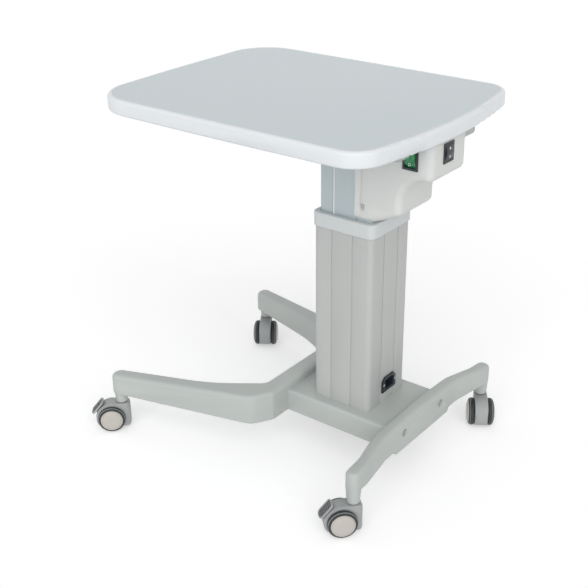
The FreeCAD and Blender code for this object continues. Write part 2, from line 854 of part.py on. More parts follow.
def outer_tube():
    outer = post(outer_tube_x, outer_tube_y, outer_tube_corner, plate_top, outer_tube_top)
    inner = post(outer_tube_x - 2 * outer_tube_wall, outer_tube_y - 2 * outer_tube_wall,
                 outer_tube_corner - outer_tube_wall, plate_top - 1, outer_tube_top + 1)
    tube = cut_grooves(outer, outer_tube_x, outer_tube_y, groove_offset, groove_width,
                       plate_top - 1, collar_bottom)
    tube = tube.cut(inner).cut(inlet_opening())
    for side in (-1, 1):
        screw_start = (outer_tube_x / 2 + 1, inlet_y + side * inlet_screw_y, inlet_z)
        tube = tube.cut(rod(inlet_screw_radius, screw_start, (-1, 0, 0), outer_tube_wall + 2))
    return tube


def inner_tube():
    outer = post(inner_tube_x, inner_tube_y, inner_tube_corner, inner_tube_bottom, head_plate_bottom)
    inner = post(inner_tube_x - 2 * inner_tube_wall, inner_tube_y - 2 * inner_tube_wall,
                 inner_tube_corner - inner_tube_wall, inner_tube_bottom - 1, head_plate_bottom + 1)
    tube = cut_grooves(outer, inner_tube_x, inner_tube_y, inner_groove_offset, inner_groove_width,
                       inner_tube_bottom + inner_groove_start, head_plate_bottom + 1)
    tube = tube.cut(inner)
    for z in housing_screw_zs:
        tube = tube.cut(rod(housing_screw_radius, (housing_screw_x, -inner_tube_y, z), (0, 1, 0),
                            inner_tube_y * 2))
    return tube


def top_collar():
    """The plastic ring round the outer tube's mouth, with a lip over its rim."""
    width_x = outer_tube_x + 2 * collar_wall
    width_y = outer_tube_y + 2 * collar_wall
    body = post(width_x, width_y, collar_corner, collar_bottom, collar_top)
    body = body.makeFillet(collar_edge_radius, level_edges(body, collar_top))
    socket = post(outer_tube_x, outer_tube_y, outer_tube_corner, collar_bottom - 1, outer_tube_top)
    mouth = post(inner_tube_x + 2 * free_clearance, inner_tube_y + 2 * free_clearance, inner_tube_corner,
                 collar_bottom, collar_top + 1)
    return body.cut(socket).cut(mouth)


def slide_set(inner_x, outer_x, inner_y, outer_y, z_low, height):
    """Eight flat slides, two on each face of a tube."""
    slides = []
    for place in (-guide_pad_spread, guide_pad_spread):
        low = place - guide_pad_width / 2
        high = place + guide_pad_width / 2
        for side in (-1, 1):
            x_pair = sorted((side * inner_x, side * outer_x))
            y_pair = sorted((side * inner_y, side * outer_y))
            slides.append(block(x_pair[0], x_pair[1], low, high, z_low, z_low + height))
            slides.append(block(low, high, y_pair[0], y_pair[1], z_low, z_low + height))
    return slides


def guide_pads():
    """Slides held in the outer tube's mouth; the inner tube runs between them."""
    return slide_set(inner_tube_x / 2 + slide_clearance, outer_tube_x / 2 - outer_tube_wall,
                     inner_tube_y / 2 + slide_clearance, outer_tube_y / 2 - outer_tube_wall,
                     outer_tube_top - guide_pad_height, guide_pad_height)


def inner_glides():
    """Slides on the inner tube's lower end; they run on the outer tube's walls."""
    return slide_set(inner_tube_x / 2, outer_tube_x / 2 - outer_tube_wall - slide_clearance,
                     inner_tube_y / 2, outer_tube_y / 2 - outer_tube_wall - slide_clearance,
                     inner_tube_bottom, glide_height)


def motor_bracket():
    """The frame in the column's foot that carries the drive and plugs into the tube."""
    plug = post(outer_tube_x - 2 * outer_tube_wall, outer_tube_y - 2 * outer_tube_wall,
                outer_tube_corner - outer_tube_wall, plate_top, foot_top)
    room = block(foot_rim - outer_tube_x / 2, outer_tube_x / 2 - foot_rim, foot_rim - outer_tube_y / 2,
                 outer_tube_y / 2 - foot_rim, plate_top - 1, foot_top - foot_roof)
    bracket = plug.cut(room)
    for x, y in column_screw_places():
        bracket = bracket.cut(rod(column_screw_radius, (x, y, plate_top - 1), (0, 0, 1), foot_height + 2))
    return bracket


def gearbox():
    body = block(-gearbox_x / 2, gearbox_x / 2, -gearbox_y / 2, gearbox_y / 2, foot_top, gearbox_top)
    body = body.makeFillet(drive_edge_radius, upright_edges(body))
    journal_hole = rod(spindle_journal_radius + running_clearance, (0, spindle_y, foot_top + spindle_floor),
                       (0, 0, 1), gearbox_height)
    return body.cut(journal_hole)


def drive_motor():
    can = rod(motor_radius, (0, motor_y, gearbox_top), (0, 0, 1), motor_length)
    cap_start = (0, motor_y, gearbox_top + motor_length - 1)
    cap = rod(motor_cap_radius, cap_start, (0, 0, 1), motor_cap_length + 1)
    return fuse_all([can, cap])


def lift_spindle():
    """The lifting screw, with its thread drawn as a plain cylinder."""
    journal_bottom = foot_top + spindle_floor + slide_clearance
    journal = rod(spindle_journal_radius, (0, spindle_y, journal_bottom), (0, 0, 1),
                  spindle_shoulder_top - journal_bottom)
    shoulder = rod(spindle_shoulder_radius, (0, spindle_y, spindle_shoulder_bottom), (0, 0, 1),
                   spindle_shoulder_length)
    screw = rod(spindle_radius, (0, spindle_y, spindle_shoulder_top - 1), (0, 0, 1),
                spindle_top - spindle_shoulder_top + 1)
    return fuse_all([journal, shoulder, screw])


def mains_inlet():
    """A flanged socket body with a hollow mouth."""
    face_x = outer_tube_x / 2
    half_y = inlet_flange_y / 2
    half_z = inlet_flange_z / 2
    flange = polygon_prism([
        (face_x, inlet_y - half_y, inlet_z - half_z),
        (face_x, inlet_y + half_y, inlet_z - half_z),
        (face_x, inlet_y + half_y, inlet_z + half_z - inlet_chamfer),
        (face_x, inlet_y + half_y - inlet_chamfer, inlet_z + half_z),
        (face_x, inlet_y - half_y + inlet_chamfer, inlet_z + half_z),
        (face_x, inlet_y - half_y, inlet_z + half_z - inlet_chamfer),
    ], (inlet_flange_thickness, 0, 0))
    body = block(face_x - inlet_body_depth, face_x + 1, inlet_y - inlet_body_y / 2,
                 inlet_y + inlet_body_y / 2, inlet_z - inlet_body_z / 2, inlet_z + inlet_body_z / 2)
    front_x = face_x + inlet_flange_thickness
    mouth = block(front_x - inlet_mouth_depth, front_x + 1, inlet_y - inlet_mouth_y / 2,
                  inlet_y + inlet_mouth_y / 2, inlet_z - inlet_mouth_z / 2, inlet_z + inlet_mouth_z / 2)
    inlet = fuse_all([flange, body]).cut(mouth)
    for side in (-1, 1):
        inlet = inlet.cut(rod(inlet_screw_radius, (front_x + 1, inlet_y + side * inlet_screw_y, inlet_z),
                              (-1, 0, 0), inlet_flange_thickness + 2))
    return inlet


def inlet_contacts():
    """Three flat pins that stand on the floor of the inlet's mouth."""
    floor_x = outer_tube_x / 2 + inlet_flange_thickness - inlet_mouth_depth
    contacts = []
    for y, z in ((-blade_spread, -blade_rise), (0, blade_rise), (blade_spread, -blade_rise)):
        contacts.append(block(floor_x, floor_x + blade_length, inlet_y + y - blade_width / 2,
                              inlet_y + y + blade_width / 2, inlet_z + z - blade_height / 2,
                              inlet_z + z + blade_height / 2))
    return contacts


def inlet_screws():
    screws = []
    front_x = outer_tube_x / 2 + inlet_flange_thickness
    for side in (-1, 1):
        y = inlet_y + side * inlet_screw_y
        head = rod(inlet_screw_head_radius, (front_x, y, inlet_z), (1, 0, 0), small_screw_head)
        shank = rod(inlet_screw_radius, (front_x + 1, y, inlet_z), (-1, 0, 0), inlet_screw_length)
        screws.append(fuse_all([head, shank]))
    return screws


def build_column():
    save("outer_tube", outer_tube())
    save("top_collar", top_collar())
    save("guide_pads", *guide_pads())
    save("inner_tube", inner_tube())
    save("inner_glides", *inner_glides())
    save("motor_bracket", motor_bracket())
    save("gearbox", gearbox())
    save("drive_motor", drive_motor())
    save("lift_spindle", lift_spindle())
    save("spindle_bearing", ring(bearing_radius, spindle_journal_radius + running_clearance,
                                 (0, spindle_y, gearbox_top), (0, 0, 1), bearing_height))
    save("lift_nut", ring(nut_radius, spindle_radius + running_clearance, (0, spindle_y, nut_bottom),
                          (0, 0, 1), nut_height))
    save("push_tube", ring(push_tube_radius, push_tube_radius - push_tube_wall, (0, spindle_y, nut_top),
                           (0, 0, 1), head_plate_bottom - nut_top))
    save("mains_inlet", mains_inlet())
    save("inlet_contacts", *inlet_contacts())
    save("inlet_screws", *inlet_screws())


# Top ----------------------------------------------------------------------------------------------

def side_circle(start, end, bow):
    """Centre and radius of the arc that bows outwards from one straight side."""
    half = (end - start).Length / 2
    radius = (half ** 2 + bow ** 2) / (2 * bow)
    along = (end - start).normalize()
    return (start + end) / 2 + Vector(-along.y, along.x, 0) * (radius - bow), radius


def corner_centre(before, after, radius, corner):
    """Centre of a corner arc that touches two side arcs from inside."""
    reach_before = before[1] - radius
    reach_after = after[1] - radius
    between = after[0] - before[0]
    distance = between.Length
    along = (reach_before ** 2 - reach_after ** 2 + distance ** 2) / (2 * distance)
    height = math.sqrt(reach_before ** 2 - along ** 2)
    unit = between.normalize()
    foot = before[0] + unit * along
    offset = Vector(-unit.y, unit.x, 0) * height
    return min((foot + offset, foot - offset), key=lambda point: point.distanceToPoint(corner))


def on_circle(centre, radius, towards):
    """The point of a circle that lies towards another point."""
    return centre + (towards - centre).normalize() * radius


def top_plan(inset):
    """The top's outline moved inwards: four bowed sides and four round corners, all arcs."""
    corners = [Vector(top_left, -top_half_depth, 0), Vector(top_right, -top_half_depth, 0),
               Vector(top_right, top_half_depth, 0), Vector(top_left, top_half_depth, 0)]
    radii = [top_corner_left, top_corner_right, top_corner_right, top_corner_left]
    bows = [top_bow_side, top_bow_right, top_bow_side, top_bow_left]
    sides = [side_circle(corners[i], corners[(i + 1) % 4], bows[i]) for i in range(4)]
    rounds = []
    for i in range(4):
        before = sides[i - 1]
        after = sides[i]
        centre = corner_centre(before, after, radii[i], corners[i])
        start = on_circle(before[0], before[1] - inset, centre)
        end = on_circle(after[0], after[1] - inset, centre)
        middle = on_circle(centre, radii[i] - inset, (start + end) / 2)
        rounds.append((start, middle, end))
    edges = []
    for i in range(4):
        start, middle, end = rounds[i]
        following = rounds[(i + 1) % 4][0]
        side_middle = on_circle(sides[i][0], sides[i][1] - inset, (end + following) / 2)
        edges.append(Part.Arc(start, middle, end).toShape())
        edges.append(Part.Arc(end, side_middle, following).toShape())
    return Part.Face(Part.Wire(edges))


def top_slab(inset, z_low, z_high):
    """The top's outline moved inwards, between two heights."""
    return moved(top_plan(inset).extrude(Vector(0, 0, z_high - z_low)), 0, 0, z_low)


def tongue_band(gap):
    """The ring under the edge band's tongue, grown by a gap on its faces and tip."""
    middle = board_underside + top_thickness / 2
    half = edge_band_tongue_height / 2 + gap
    outer = top_slab(edge_band_width - 1, middle - half, middle + half)
    inner = top_slab(edge_band_width + edge_band_tongue + gap, middle - half, middle + half)
    return outer.cut(inner)


def board_screw_places():
    return [(x, side * rail_middle_y) for x in board_screw_xs for side in (-1, 1)]


def tabletop_rim():
    """The moulded edge band, with a tongue that holds it in the board's edge."""
    slab = top_slab(0, board_underside, top_surface)
    slab = slab.makeFillet(edge_band_upper_radius, level_edges(slab, top_surface))
    slab = slab.makeFillet(edge_band_lower_radius, level_edges(slab, board_underside))
    band = slab.cut(top_slab(edge_band_width, board_underside - 1, top_surface + 1))
    return fuse_all([band, tongue_band(0)])


def tabletop_board():
    board = top_slab(edge_band_width, board_underside, top_surface - board_recess)
    board = board.cut(tongue_band(edge_band_clearance))
    for x, y in board_screw_places():
        board = board.cut(rod(board_screw_radius, (x, y, board_underside - 1), (0, 0, 1),
                              board_screw_bite + 1))
    return board


def frame_screw_places():
    return [(x, y) for x in (-frame_screw_offset, frame_screw_offset)
            for y in (-frame_screw_offset, frame_screw_offset)]


def head_plate():
    plate = block(-inner_tube_x / 2, inner_tube_x / 2, -inner_tube_y / 2, inner_tube_y / 2,
                  head_plate_bottom, cross_member_bottom)
    plate = plate.makeFillet(inner_tube_corner, upright_edges(plate))
    for x, y in frame_screw_places():
        plate = plate.cut(rod(frame_screw_radius, (x, y, head_plate_bottom - 1), (0, 0, 1),
                              head_plate_thickness + 2))
    return plate


def top_frame():
    """Two closed rails under the board, joined by a member over the column and one at the far end."""
    pieces = []
    for side, rail_end_x in ((-1, rail_end_near), (1, rail_end_far)):
        y_pair = sorted((side * rail_inner_y, side * (rail_inner_y + rail_width)))
        rail = block(rail_start_x, rail_end_x, y_pair[0], y_pair[1], rail_bottom, board_underside)
        low_edges = [edge for edge in level_edges(rail, rail_bottom) if edge.BoundBox.YLength < 0.01]
        rail = rail.makeFillet(rail_edge_radius, low_edges)
        room = block(rail_start_x + rail_wall, rail_end_x - rail_wall, y_pair[0] + rail_wall,
                     y_pair[1] - rail_wall, rail_bottom + rail_wall, board_underside - rail_wall)
        pieces.append(rail.cut(room))
    pieces.append(block(-cross_member_half_length, housing_left - free_clearance, -rail_inner_y - 1,
                        rail_inner_y + 1, cross_member_bottom, board_underside))
    pieces.append(block(0, cross_member_half_length, -inner_tube_y / 2, inner_tube_y / 2,
                        cross_member_bottom, board_underside))
    pieces.append(block(rail_start_x, rail_start_x + end_member_width, -rail_inner_y - 1, rail_inner_y + 1,
                        cross_member_bottom, board_underside))
    frame = fuse_all(pieces)
    for x, y in frame_screw_places():
        frame = frame.cut(rod(frame_screw_radius, (x, y, cross_member_bottom - 1), (0, 0, 1),
                              cross_member_thickness + 2))
    for x, y in board_screw_places():
        frame = frame.cut(rod(board_screw_radius, (x, y, rail_bottom - 1), (0, 0, 1), rail_height + 2))
    return frame


def top_screws():
    """Screws from the head plate into the frame, and from the rails into the board."""
    screws = []
    for x, y in frame_screw_places():
        head_bottom = head_plate_bottom - top_screw_head
        head = rod(top_screw_head_radius, (x, y, head_bottom), (0, 0, 1), top_screw_head)
        shank = rod(frame_screw_radius, (x, y, head_plate_bottom - 1), (0, 0, 1),
                    head_plate_thickness + cross_member_thickness)
        screws.append(fuse_all([head, shank]))
    for x, y in board_screw_places():
        head = rod(top_screw_head_radius, (x, y, rail_bottom - top_screw_head), (0, 0, 1), top_screw_head)
        shank = rod(board_screw_radius, (x, y, rail_bottom - 1), (0, 0, 1),
                    rail_height + board_screw_bite)
        screws.append(fuse_all([head, shank]))
    return screws


# Control housing and switches ---------------------------------------------------------------------

def housing_form(inset):
    """The housing's outer form, or the room inside it: one side outline pushed across the column."""
    half = housing_half_depth - inset
    face = rounded_face([
        (housing_left, board_underside, 0),
        (housing_left, housing_bottom, 0),
        (housing_lobe_start_x, housing_bottom, housing_lobe_start_radius),
        (housing_lobe_x, housing_bottom + housing_lobe_rise, housing_lobe_radius),
        (housing_lobe_x, housing_shelf_z, housing_cove_radius),
        (housing_right, housing_shelf_z, housing_shelf_radius),
        (housing_right, board_underside, 0),
    ], lambda x, z: Vector(x, -half, z))
    if inset:
        face = Part.Face(face.OuterWire.makeOffset2D(-inset))
    body = face.extrude(Vector(0, 2 * half, 0))
    tall = [edge for edge in upright_edges(body) if edge.BoundBox.XMin > housing_right - inset - 0.01]
    return body.makeFillet(housing_corner - inset, tall)


def circuit_board_y():
    """The circuit board's face on its bosses."""
    return housing_half_depth - housing_wall - board_boss_length


def circuit_boss_places():
    inset = 5
    return [(x, z) for x in (circuit_board_x[0] + inset, circuit_board_x[1] - inset)
            for z in (circuit_board_z[0] + inset, circuit_board_z[1] - inset)]


def switch_hole(width, height):
    """The cut-out in the housing's wall for one switch, with the face towards +X."""
    half_width = width / 2 - bezel_flange
    half_height = height / 2 - bezel_flange
    return block(-sleeve_depth, bezel_thickness, -half_width, half_width, -half_height, half_height)


def place_power_switch(shape):
    """A switch piece turned to the near side of the housing."""
    return moved(turned(shape, -90), power_switch_x, -housing_half_depth, power_switch_z)


def place_lift_switch(shape):
    """A switch piece set on the end face of the housing."""
    return moved(shape, housing_right, lift_switch_y, lift_switch_z)


def control_housing():
    shell = housing_form(0).cut(housing_form(housing_wall))
    wall_y = housing_half_depth - housing_wall
    column_room = block(housing_left - 1, inner_tube_x / 2 + slide_clearance, -wall_y, wall_y,
                        housing_bottom - 1, board_underside + 1)
    top_room = block(inner_tube_x / 2, housing_right - housing_corner, -wall_y, wall_y,
                     board_underside - 2 * housing_wall, board_underside + 1)
    shell = shell.cut(column_room).cut(top_room)
    bosses = []
    for x, z in circuit_boss_places():
        bosses.append(rod(board_boss_radius, (x, wall_y + 1, z), (0, -1, 0), board_boss_length + 1))
    shell = fuse_all([shell] + bosses)
    shell = shell.cut(place_power_switch(switch_hole(power_switch_width, power_switch_height)))
    shell = shell.cut(place_lift_switch(switch_hole(lift_switch_width, lift_switch_height)))
    for z in housing_screw_zs:
        shell = shell.cut(rod(housing_screw_radius, (housing_screw_x, -housing_half_depth - 1, z), (0, 1, 0),
                              2 * housing_half_depth + 2))
    return shell


def housing_screws():
    screws = []
    for side in (-1, 1):
        face_y = side * housing_half_depth
        for z in housing_screw_zs:
            head = rod(housing_screw_head_radius, (housing_screw_x, face_y, z), (0, side, 0),
                       small_screw_head)
            shank_start = (housing_screw_x, face_y + side * small_screw_head / 2, z)
            shank = rod(housing_screw_radius, shank_start, (0, -side, 0), housing_screw_length)
            screws.append(fuse_all([head, shank]))
    return screws


def switch_bezel(width, height):
    """A switch frame with a sleeve behind it, with the face towards +X."""
    half_width = width / 2
    half_height = height / 2
    flange = block(0, bezel_thickness, -half_width, half_width, -half_height, half_height)
    sleeve = block(-sleeve_depth, 1, bezel_flange - half_width, half_width - bezel_flange,
                   bezel_flange - half_height, half_height - bezel_flange)
    rim = bezel_flange + sleeve_wall
    room = block(sleeve_wall - sleeve_depth, bezel_thickness + 1, rim - half_width, half_width - rim,
                 rim - half_height, half_height - rim)
    body = fuse_all([flange, sleeve]).cut(room)
    return body.cut(rod(pin_radius, (-switch_pin_depth, -half_width, 0), (0, 1, 0), width))


def switch_rocker(width, height):
    """A rocker in its middle position, with two faces that slope away from a ridge."""
    rim = bezel_flange + sleeve_wall + rocker_gap
    half_width = width / 2 - rim
    radius = height / 2 - rim
    drum = rod(radius, (-switch_pin_depth, -half_width, 0), (0, 1, 0), 2 * half_width)
    slope = math.tan(math.radians(rocker_tilt))
    ridge_x = rocker_apex - switch_pin_depth
    back_x = -rocker_half_depth - switch_pin_depth
    wedge = polygon_prism([
        (ridge_x, -half_width, 0),
        (ridge_x - height * slope, -half_width, height),
        (back_x, -half_width, height),
        (back_x, -half_width, -height),
        (ridge_x - height * slope, -half_width, -height),
    ], (0, 2 * half_width, 0))
    body = drum.common(wedge)
    pin_start = (-switch_pin_depth, -width, 0)
    return body.cut(rod(pin_radius + running_clearance, pin_start, (0, 1, 0), 2 * width))


def switch_pin(width):
    half = width / 2 - bezel_flange
    return rod(pin_radius, (-switch_pin_depth, -half, 0), (0, 1, 0), 2 * half)


def control_board():
    """A circuit board with its relays, on the housing's far wall."""
    face_y = circuit_board_y()
    board = block(circuit_board_x[0], circuit_board_x[1], face_y - circuit_board_thickness, face_y,
                  circuit_board_z[0], circuit_board_z[1])
    part_y = face_y - circuit_board_thickness
    relays = []
    for index in range(3):
        x_low = circuit_board_x[0] + relay_margin + index * relay_pitch
        z_low = circuit_board_z[0] + relay_low
        relays.append(block(x_low, x_low + relay_width, part_y - relay_depth, part_y, z_low,
                            z_low + relay_height))
    return fuse_all([board] + relays)


def power_supply():
    """A closed supply unit on the inner tube's face."""
    left = inner_tube_x / 2
    body = block(left, left + power_supply_depth, -power_supply_half_width, power_supply_half_width,
                 power_supply_z[0], power_supply_z[1])
    return body.makeFillet(drive_edge_radius, upright_edges(body)[2:])


def build_top():
    save("tabletop_board", tabletop_board())
    save("tabletop_rim", tabletop_rim())
    save("head_plate", head_plate())
    save("top_frame", top_frame())
    save("top_screws", *top_screws())
    save("control_housing", control_housing())
    save("housing_screws", *housing_screws())
    save("control_board", control_board())
    save("power_supply", power_supply())
    power = (power_switch_width, power_switch_height)
    lift = (lift_switch_width, lift_switch_height)
    pin_centre = Vector(-switch_pin_depth, 0, 0)
    pressed = turned(switch_rocker(*power), rocker_tilt, Vector(0, 1, 0), pin_centre)
    save("power_bezel", place_power_switch(switch_bezel(*power)))
    save("power_rocker", place_power_switch(pressed))
    save("lift_bezel", place_lift_switch(switch_bezel(*lift)))
    save("lift_rocker", place_lift_switch(switch_rocker(*lift)))
    save("rocker_pins", place_power_switch(switch_pin(power_switch_width)),
         place_lift_switch(switch_pin(lift_switch_width)))


os.makedirs("parts", exist_ok=True)
build_casters()
build_base()
build_column()
build_top()
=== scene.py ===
# %% [markdown]
# # An instrument lift table
# A rounded top stands off-centre on a lifting column, and the column on four casters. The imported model
# gives every solid its place. This script gives the solids their finishes, and models again in Blender
# the pieces whose edges, mouldings and small parts the eye rests on. We start by loading the frame,
# because everything else is measured from it.

# %% Load the frame
import bmesh
import bpy
import json
import math
from contextlib import contextmanager
from mathutils import Matrix, Vector


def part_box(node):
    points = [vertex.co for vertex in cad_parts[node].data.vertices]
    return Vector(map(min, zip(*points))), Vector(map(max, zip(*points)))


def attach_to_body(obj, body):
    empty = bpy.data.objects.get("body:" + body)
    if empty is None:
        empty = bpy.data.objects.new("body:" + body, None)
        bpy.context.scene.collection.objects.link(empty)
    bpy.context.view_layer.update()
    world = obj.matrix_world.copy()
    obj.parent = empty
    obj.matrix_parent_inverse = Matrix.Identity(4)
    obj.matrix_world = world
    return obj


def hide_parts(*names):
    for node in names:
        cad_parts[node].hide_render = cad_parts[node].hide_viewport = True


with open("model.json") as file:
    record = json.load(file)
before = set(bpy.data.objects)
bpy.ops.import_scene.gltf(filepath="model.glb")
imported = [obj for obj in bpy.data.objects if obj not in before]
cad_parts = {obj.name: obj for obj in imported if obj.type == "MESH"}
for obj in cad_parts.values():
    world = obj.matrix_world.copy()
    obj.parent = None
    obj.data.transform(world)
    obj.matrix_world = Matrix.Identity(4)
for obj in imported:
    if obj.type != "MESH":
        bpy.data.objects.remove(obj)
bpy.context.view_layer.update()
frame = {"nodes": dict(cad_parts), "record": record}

# %% [markdown]
# The table was drawn about the column's axis, so the pieces here are too. The axis is the middle of the
# outer tube. `spot` turns a place in millimetres about it into a point of the scene, in metres.

# %% Places about the column
MM = 0.001
tube_low, tube_high = [Vector(corner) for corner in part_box("outer_tube")]
COLUMN = Vector(((tube_low.x + tube_high.x) / 2, (tube_low.y + tube_high.y) / 2, 0))


def spot(x, y, z):
    """A point of the scene from millimetres about the column's axis."""
    return COLUMN + Vector((x, y, z)) * MM


def place_box(node):
    """A node's lowest and highest corners in millimetres about the column's axis."""
    return [(Vector(corner) - COLUMN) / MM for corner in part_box(node)]


print("the column stands at", tuple(round(v, 4) for v in COLUMN))

# %% [markdown]
# The camera looks down on the near right corner. Its place and its lens come from lines of the table
# that are level or upright, and it turns a little about its own line of sight.

# %% Camera
FOCAL_PIXELS, PICTURE_PIXELS, SENSOR_MM = 1067.09, 588, 36.0
CAMERA_YAW, CAMERA_DEPRESSION, CAMERA_ROLL = (math.radians(v) for v in (37.79, 26.07, -0.58))
CAMERA_SPOT = (892.76, -1333.38, 1081.34)

scene = bpy.context.scene
lens = bpy.data.cameras.new("camera")
lens.sensor_width = SENSOR_MM
lens.lens = SENSOR_MM * FOCAL_PIXELS / PICTURE_PIXELS
camera = bpy.data.objects.new("camera", lens)
scene.collection.objects.link(camera)
back = Vector((math.sin(CAMERA_YAW) * math.cos(CAMERA_DEPRESSION),
               -math.cos(CAMERA_YAW) * math.cos(CAMERA_DEPRESSION), math.sin(CAMERA_DEPRESSION)))
level_right = (-back).cross(Vector((0, 0, 1))).normalized()
level_up = level_right.cross(-back)
right = math.cos(CAMERA_ROLL) * level_right + math.sin(CAMERA_ROLL) * level_up
up = math.cos(CAMERA_ROLL) * level_up - math.sin(CAMERA_ROLL) * level_right
turn = Matrix((right, up, back)).transposed().to_4x4()
camera.matrix_world = Matrix.Translation(spot(*CAMERA_SPOT)) @ turn
scene.camera = camera
print(f"lens {lens.lens:.1f} mm")

# %% [markdown]
# Finishes are sums of noise, so a small class lets a node's output stand in a Python expression. A
# second one holds a node tree and adds any other node with one method.

# %% Shader maths
class Wire:
    """The output of a node, which can be added to and multiplied."""

    def __init__(self, tree, socket):
        self.tree = tree
        self.socket = socket

    def _with(self, operation, other):
        return self.tree.node("Math", {"operation": operation}, {0: self, 1: other})

    def __add__(self, other):
        return self._with("ADD", other)

    def __mul__(self, other):
        return self._with("MULTIPLY", other)

    __radd__ = __add__
    __rmul__ = __mul__


class NodeTree:
    """A node tree that new nodes are added to by name."""

    def __init__(self, tree):
        self.tree = tree

    def node(self, kind, settings=None, inputs=None, output=0):
        """One node: its settings are set first, then the values or links of its sockets."""
        made = self.tree.nodes.new("ShaderNode" + kind)
        for key, value in (settings or {}).items():
            if key == "stops":
                for stop, (position, shade_of_grey) in zip(made.color_ramp.elements, value):
                    stop.position = position
                    stop.color = (shade_of_grey, shade_of_grey, shade_of_grey, 1)
            else:
                setattr(made, key, value)
        for key, value in (inputs or {}).items():
            if isinstance(value, Wire):
                self.tree.links.new(value.socket, made.inputs[key])
            else:
                made.inputs[key].default_value = value
        return Wire(self, made.outputs[output])

    def seen(self):
        """1 where the camera sees a surface, straight or in a mirror or a lens, and 0 for plain light."""
        camera_ray, glossy_ray, glass_ray = [self.node("LightPath", output=f"Is {kind} Ray")
                                             for kind in ("Camera", "Glossy", "Transmission")]
        return camera_ray + glossy_ray + glass_ray


print("node helpers ready")

# %% [markdown]
# A finish is a material: a Principled shader whose colour, roughness and bump come from noise. The
# pattern reads Object coordinates, so it stays on the piece when the piece moves.

# %% A finish
class Finish(NodeTree):
    """A material and the nodes that make it up."""

    def __init__(self, name, colour, roughness, metallic=0.0):
        self.material = bpy.data.materials.new(name)
        self.material.use_nodes = True
        super().__init__(self.material.node_tree)
        self.shader = self.tree.nodes["Principled BSDF"]
        self.shader.inputs["Base Color"].default_value = (*colour, 1)
        self.shader.inputs["Roughness"].default_value = roughness
        self.shader.inputs["Metallic"].default_value = metallic
        self.material.diffuse_color = (*colour, 1)
        self.colour = colour
        self.place = self.node("TexCoord", output="Object")

    def feed(self, name, wire):
        """Link a wire to a socket of the shader."""
        self.tree.links.new(wire.socket, self.shader.inputs[name])

    def noise(self, scale, detail=2.0, stretch=(1, 1, 1)):
        """Noise of a scale per metre, drawn out along an axis where its stretch is small."""
        place = self.node("Mapping", {}, {"Vector": self.place, "Scale": stretch})
        return self.node("TexNoise", {}, {"Vector": place, "Scale": scale, "Detail": detail})

    def step(self, wire, low, high):
        """0 below one value, 1 above another, and a ramp between them."""
        return self.node("ValToRGB", {"stops": [(low, 0.0), (high, 1.0)]}, {"Fac": wire})

    def mottle(self, wire, other, amount):
        """Shift the base colour towards another one where the wire is high."""
        mixed = self.node("Mix", {"data_type": "RGBA"},
                          {"Factor": wire * amount, 6: (*self.colour, 1), 7: (*other, 1)}, output=2)
        self.feed("Base Color", mixed)

    def bump(self, height, depth_mm, strength=1.0):
        """Raise the surface by a height map."""
        self.feed("Normal", self.node("Bump", {}, {"Height": height, "Distance": depth_mm * MM,
                                                   "Strength": strength}))


def shade(*screen):
    """A screen colour from 0 to 255, as the linear numbers that Blender mixes."""
    return tuple(((value / 255 + 0.055) / 1.055) ** 2.4 for value in screen)


print("finish helpers ready")

# %% [markdown]
# A product picture is lit from all sides, and strongest from where the camera stands. A sun with a very
# wide disc is as even as a wall of soft boxes, so its shadow is faint. A second one lifts the left. The
# room alone shows in reflections, or the satin top would flare when it is looked at along its face.

# %% Light
LAMP_DISTANCE = 3


def add_sun(name, azimuth, elevation, strength, spread):
    """A wide soft sun that shines from a direction; angles are in degrees."""
    light = bpy.data.lights.new(name, "SUN")
    light.energy = strength
    light.angle = math.radians(spread)
    lamp = bpy.data.objects.new(name, light)
    scene.collection.objects.link(lamp)
    towards = Vector((math.cos(math.radians(azimuth)), math.sin(math.radians(azimuth)),
                      math.tan(math.radians(elevation))))
    lamp.rotation_euler = towards.to_track_quat("Z", "Y").to_euler()
    lamp.location = towards.normalized() * LAMP_DISTANCE
    lamp.visible_glossy = False


scene.view_settings.view_transform = "Standard"
add_sun("front_light", -52, 24, 2.2, 80)
add_sun("left_light", -150, 35, 0.25, 110)
print("two lamps in place")

# %% [markdown]
# The room is white. To keep it from lighting the table too strongly, the world and the floor are white
# only where they are looked at, straight or in a reflection. The floor adds its glow to its own shade,
# so the soft shadow under the table stays.

# %% Room and floor
SKY_LIGHT, FLOOR_GLOW, FLOOR_SIZE = 0.42, 0.40, 60

world = bpy.data.worlds.new("room")
scene.world = world
world.use_nodes = True
sky = NodeTree(world.node_tree)
lighting = sky.node("Background", {}, {"Color": (1, 1, 1, 1), "Strength": SKY_LIGHT})
backdrop = sky.node("Background", {}, {"Color": (1, 1, 1, 1), "Strength": 1.0})
room = sky.node("MixShader", {}, {0: sky.seen(), 1: lighting, 2: backdrop})
sky.tree.links.new(room.socket, sky.tree.nodes["World Output"].inputs["Surface"])

bpy.ops.object.select_all(action="DESELECT")
bpy.ops.mesh.primitive_plane_add(size=FLOOR_SIZE)
floor = bpy.context.object
floor.name = "floor"
paper = Finish("floor_paper", (0.80, 0.80, 0.80), 0.9)
plain = Wire(paper, paper.shader.outputs[0])
glow = paper.node("Emission", {}, {"Color": (1, 1, 1, 1), "Strength": FLOOR_GLOW})
glowing = paper.node("AddShader", {}, {0: plain, 1: glow})
surface = paper.node("MixShader", {}, {0: paper.seen(), 1: plain, 2: glowing})
paper.tree.links.new(surface.socket, paper.tree.nodes["Material Output"].inputs["Surface"])
floor.data.materials.append(paper.material)
print("white room ready")

# %% [markdown]
# ## Finishes
# The base and the column are powder coated: the coat flows out into a faint orange peel, and under it
# the sheen varies a little. The cast beams are a touch greener and darker than the column's tubes.

# %% Powder coats
SPECKLE_SCALE, PEEL_SCALE, CLOUD_SCALE = 900.0, 420.0, 9.0


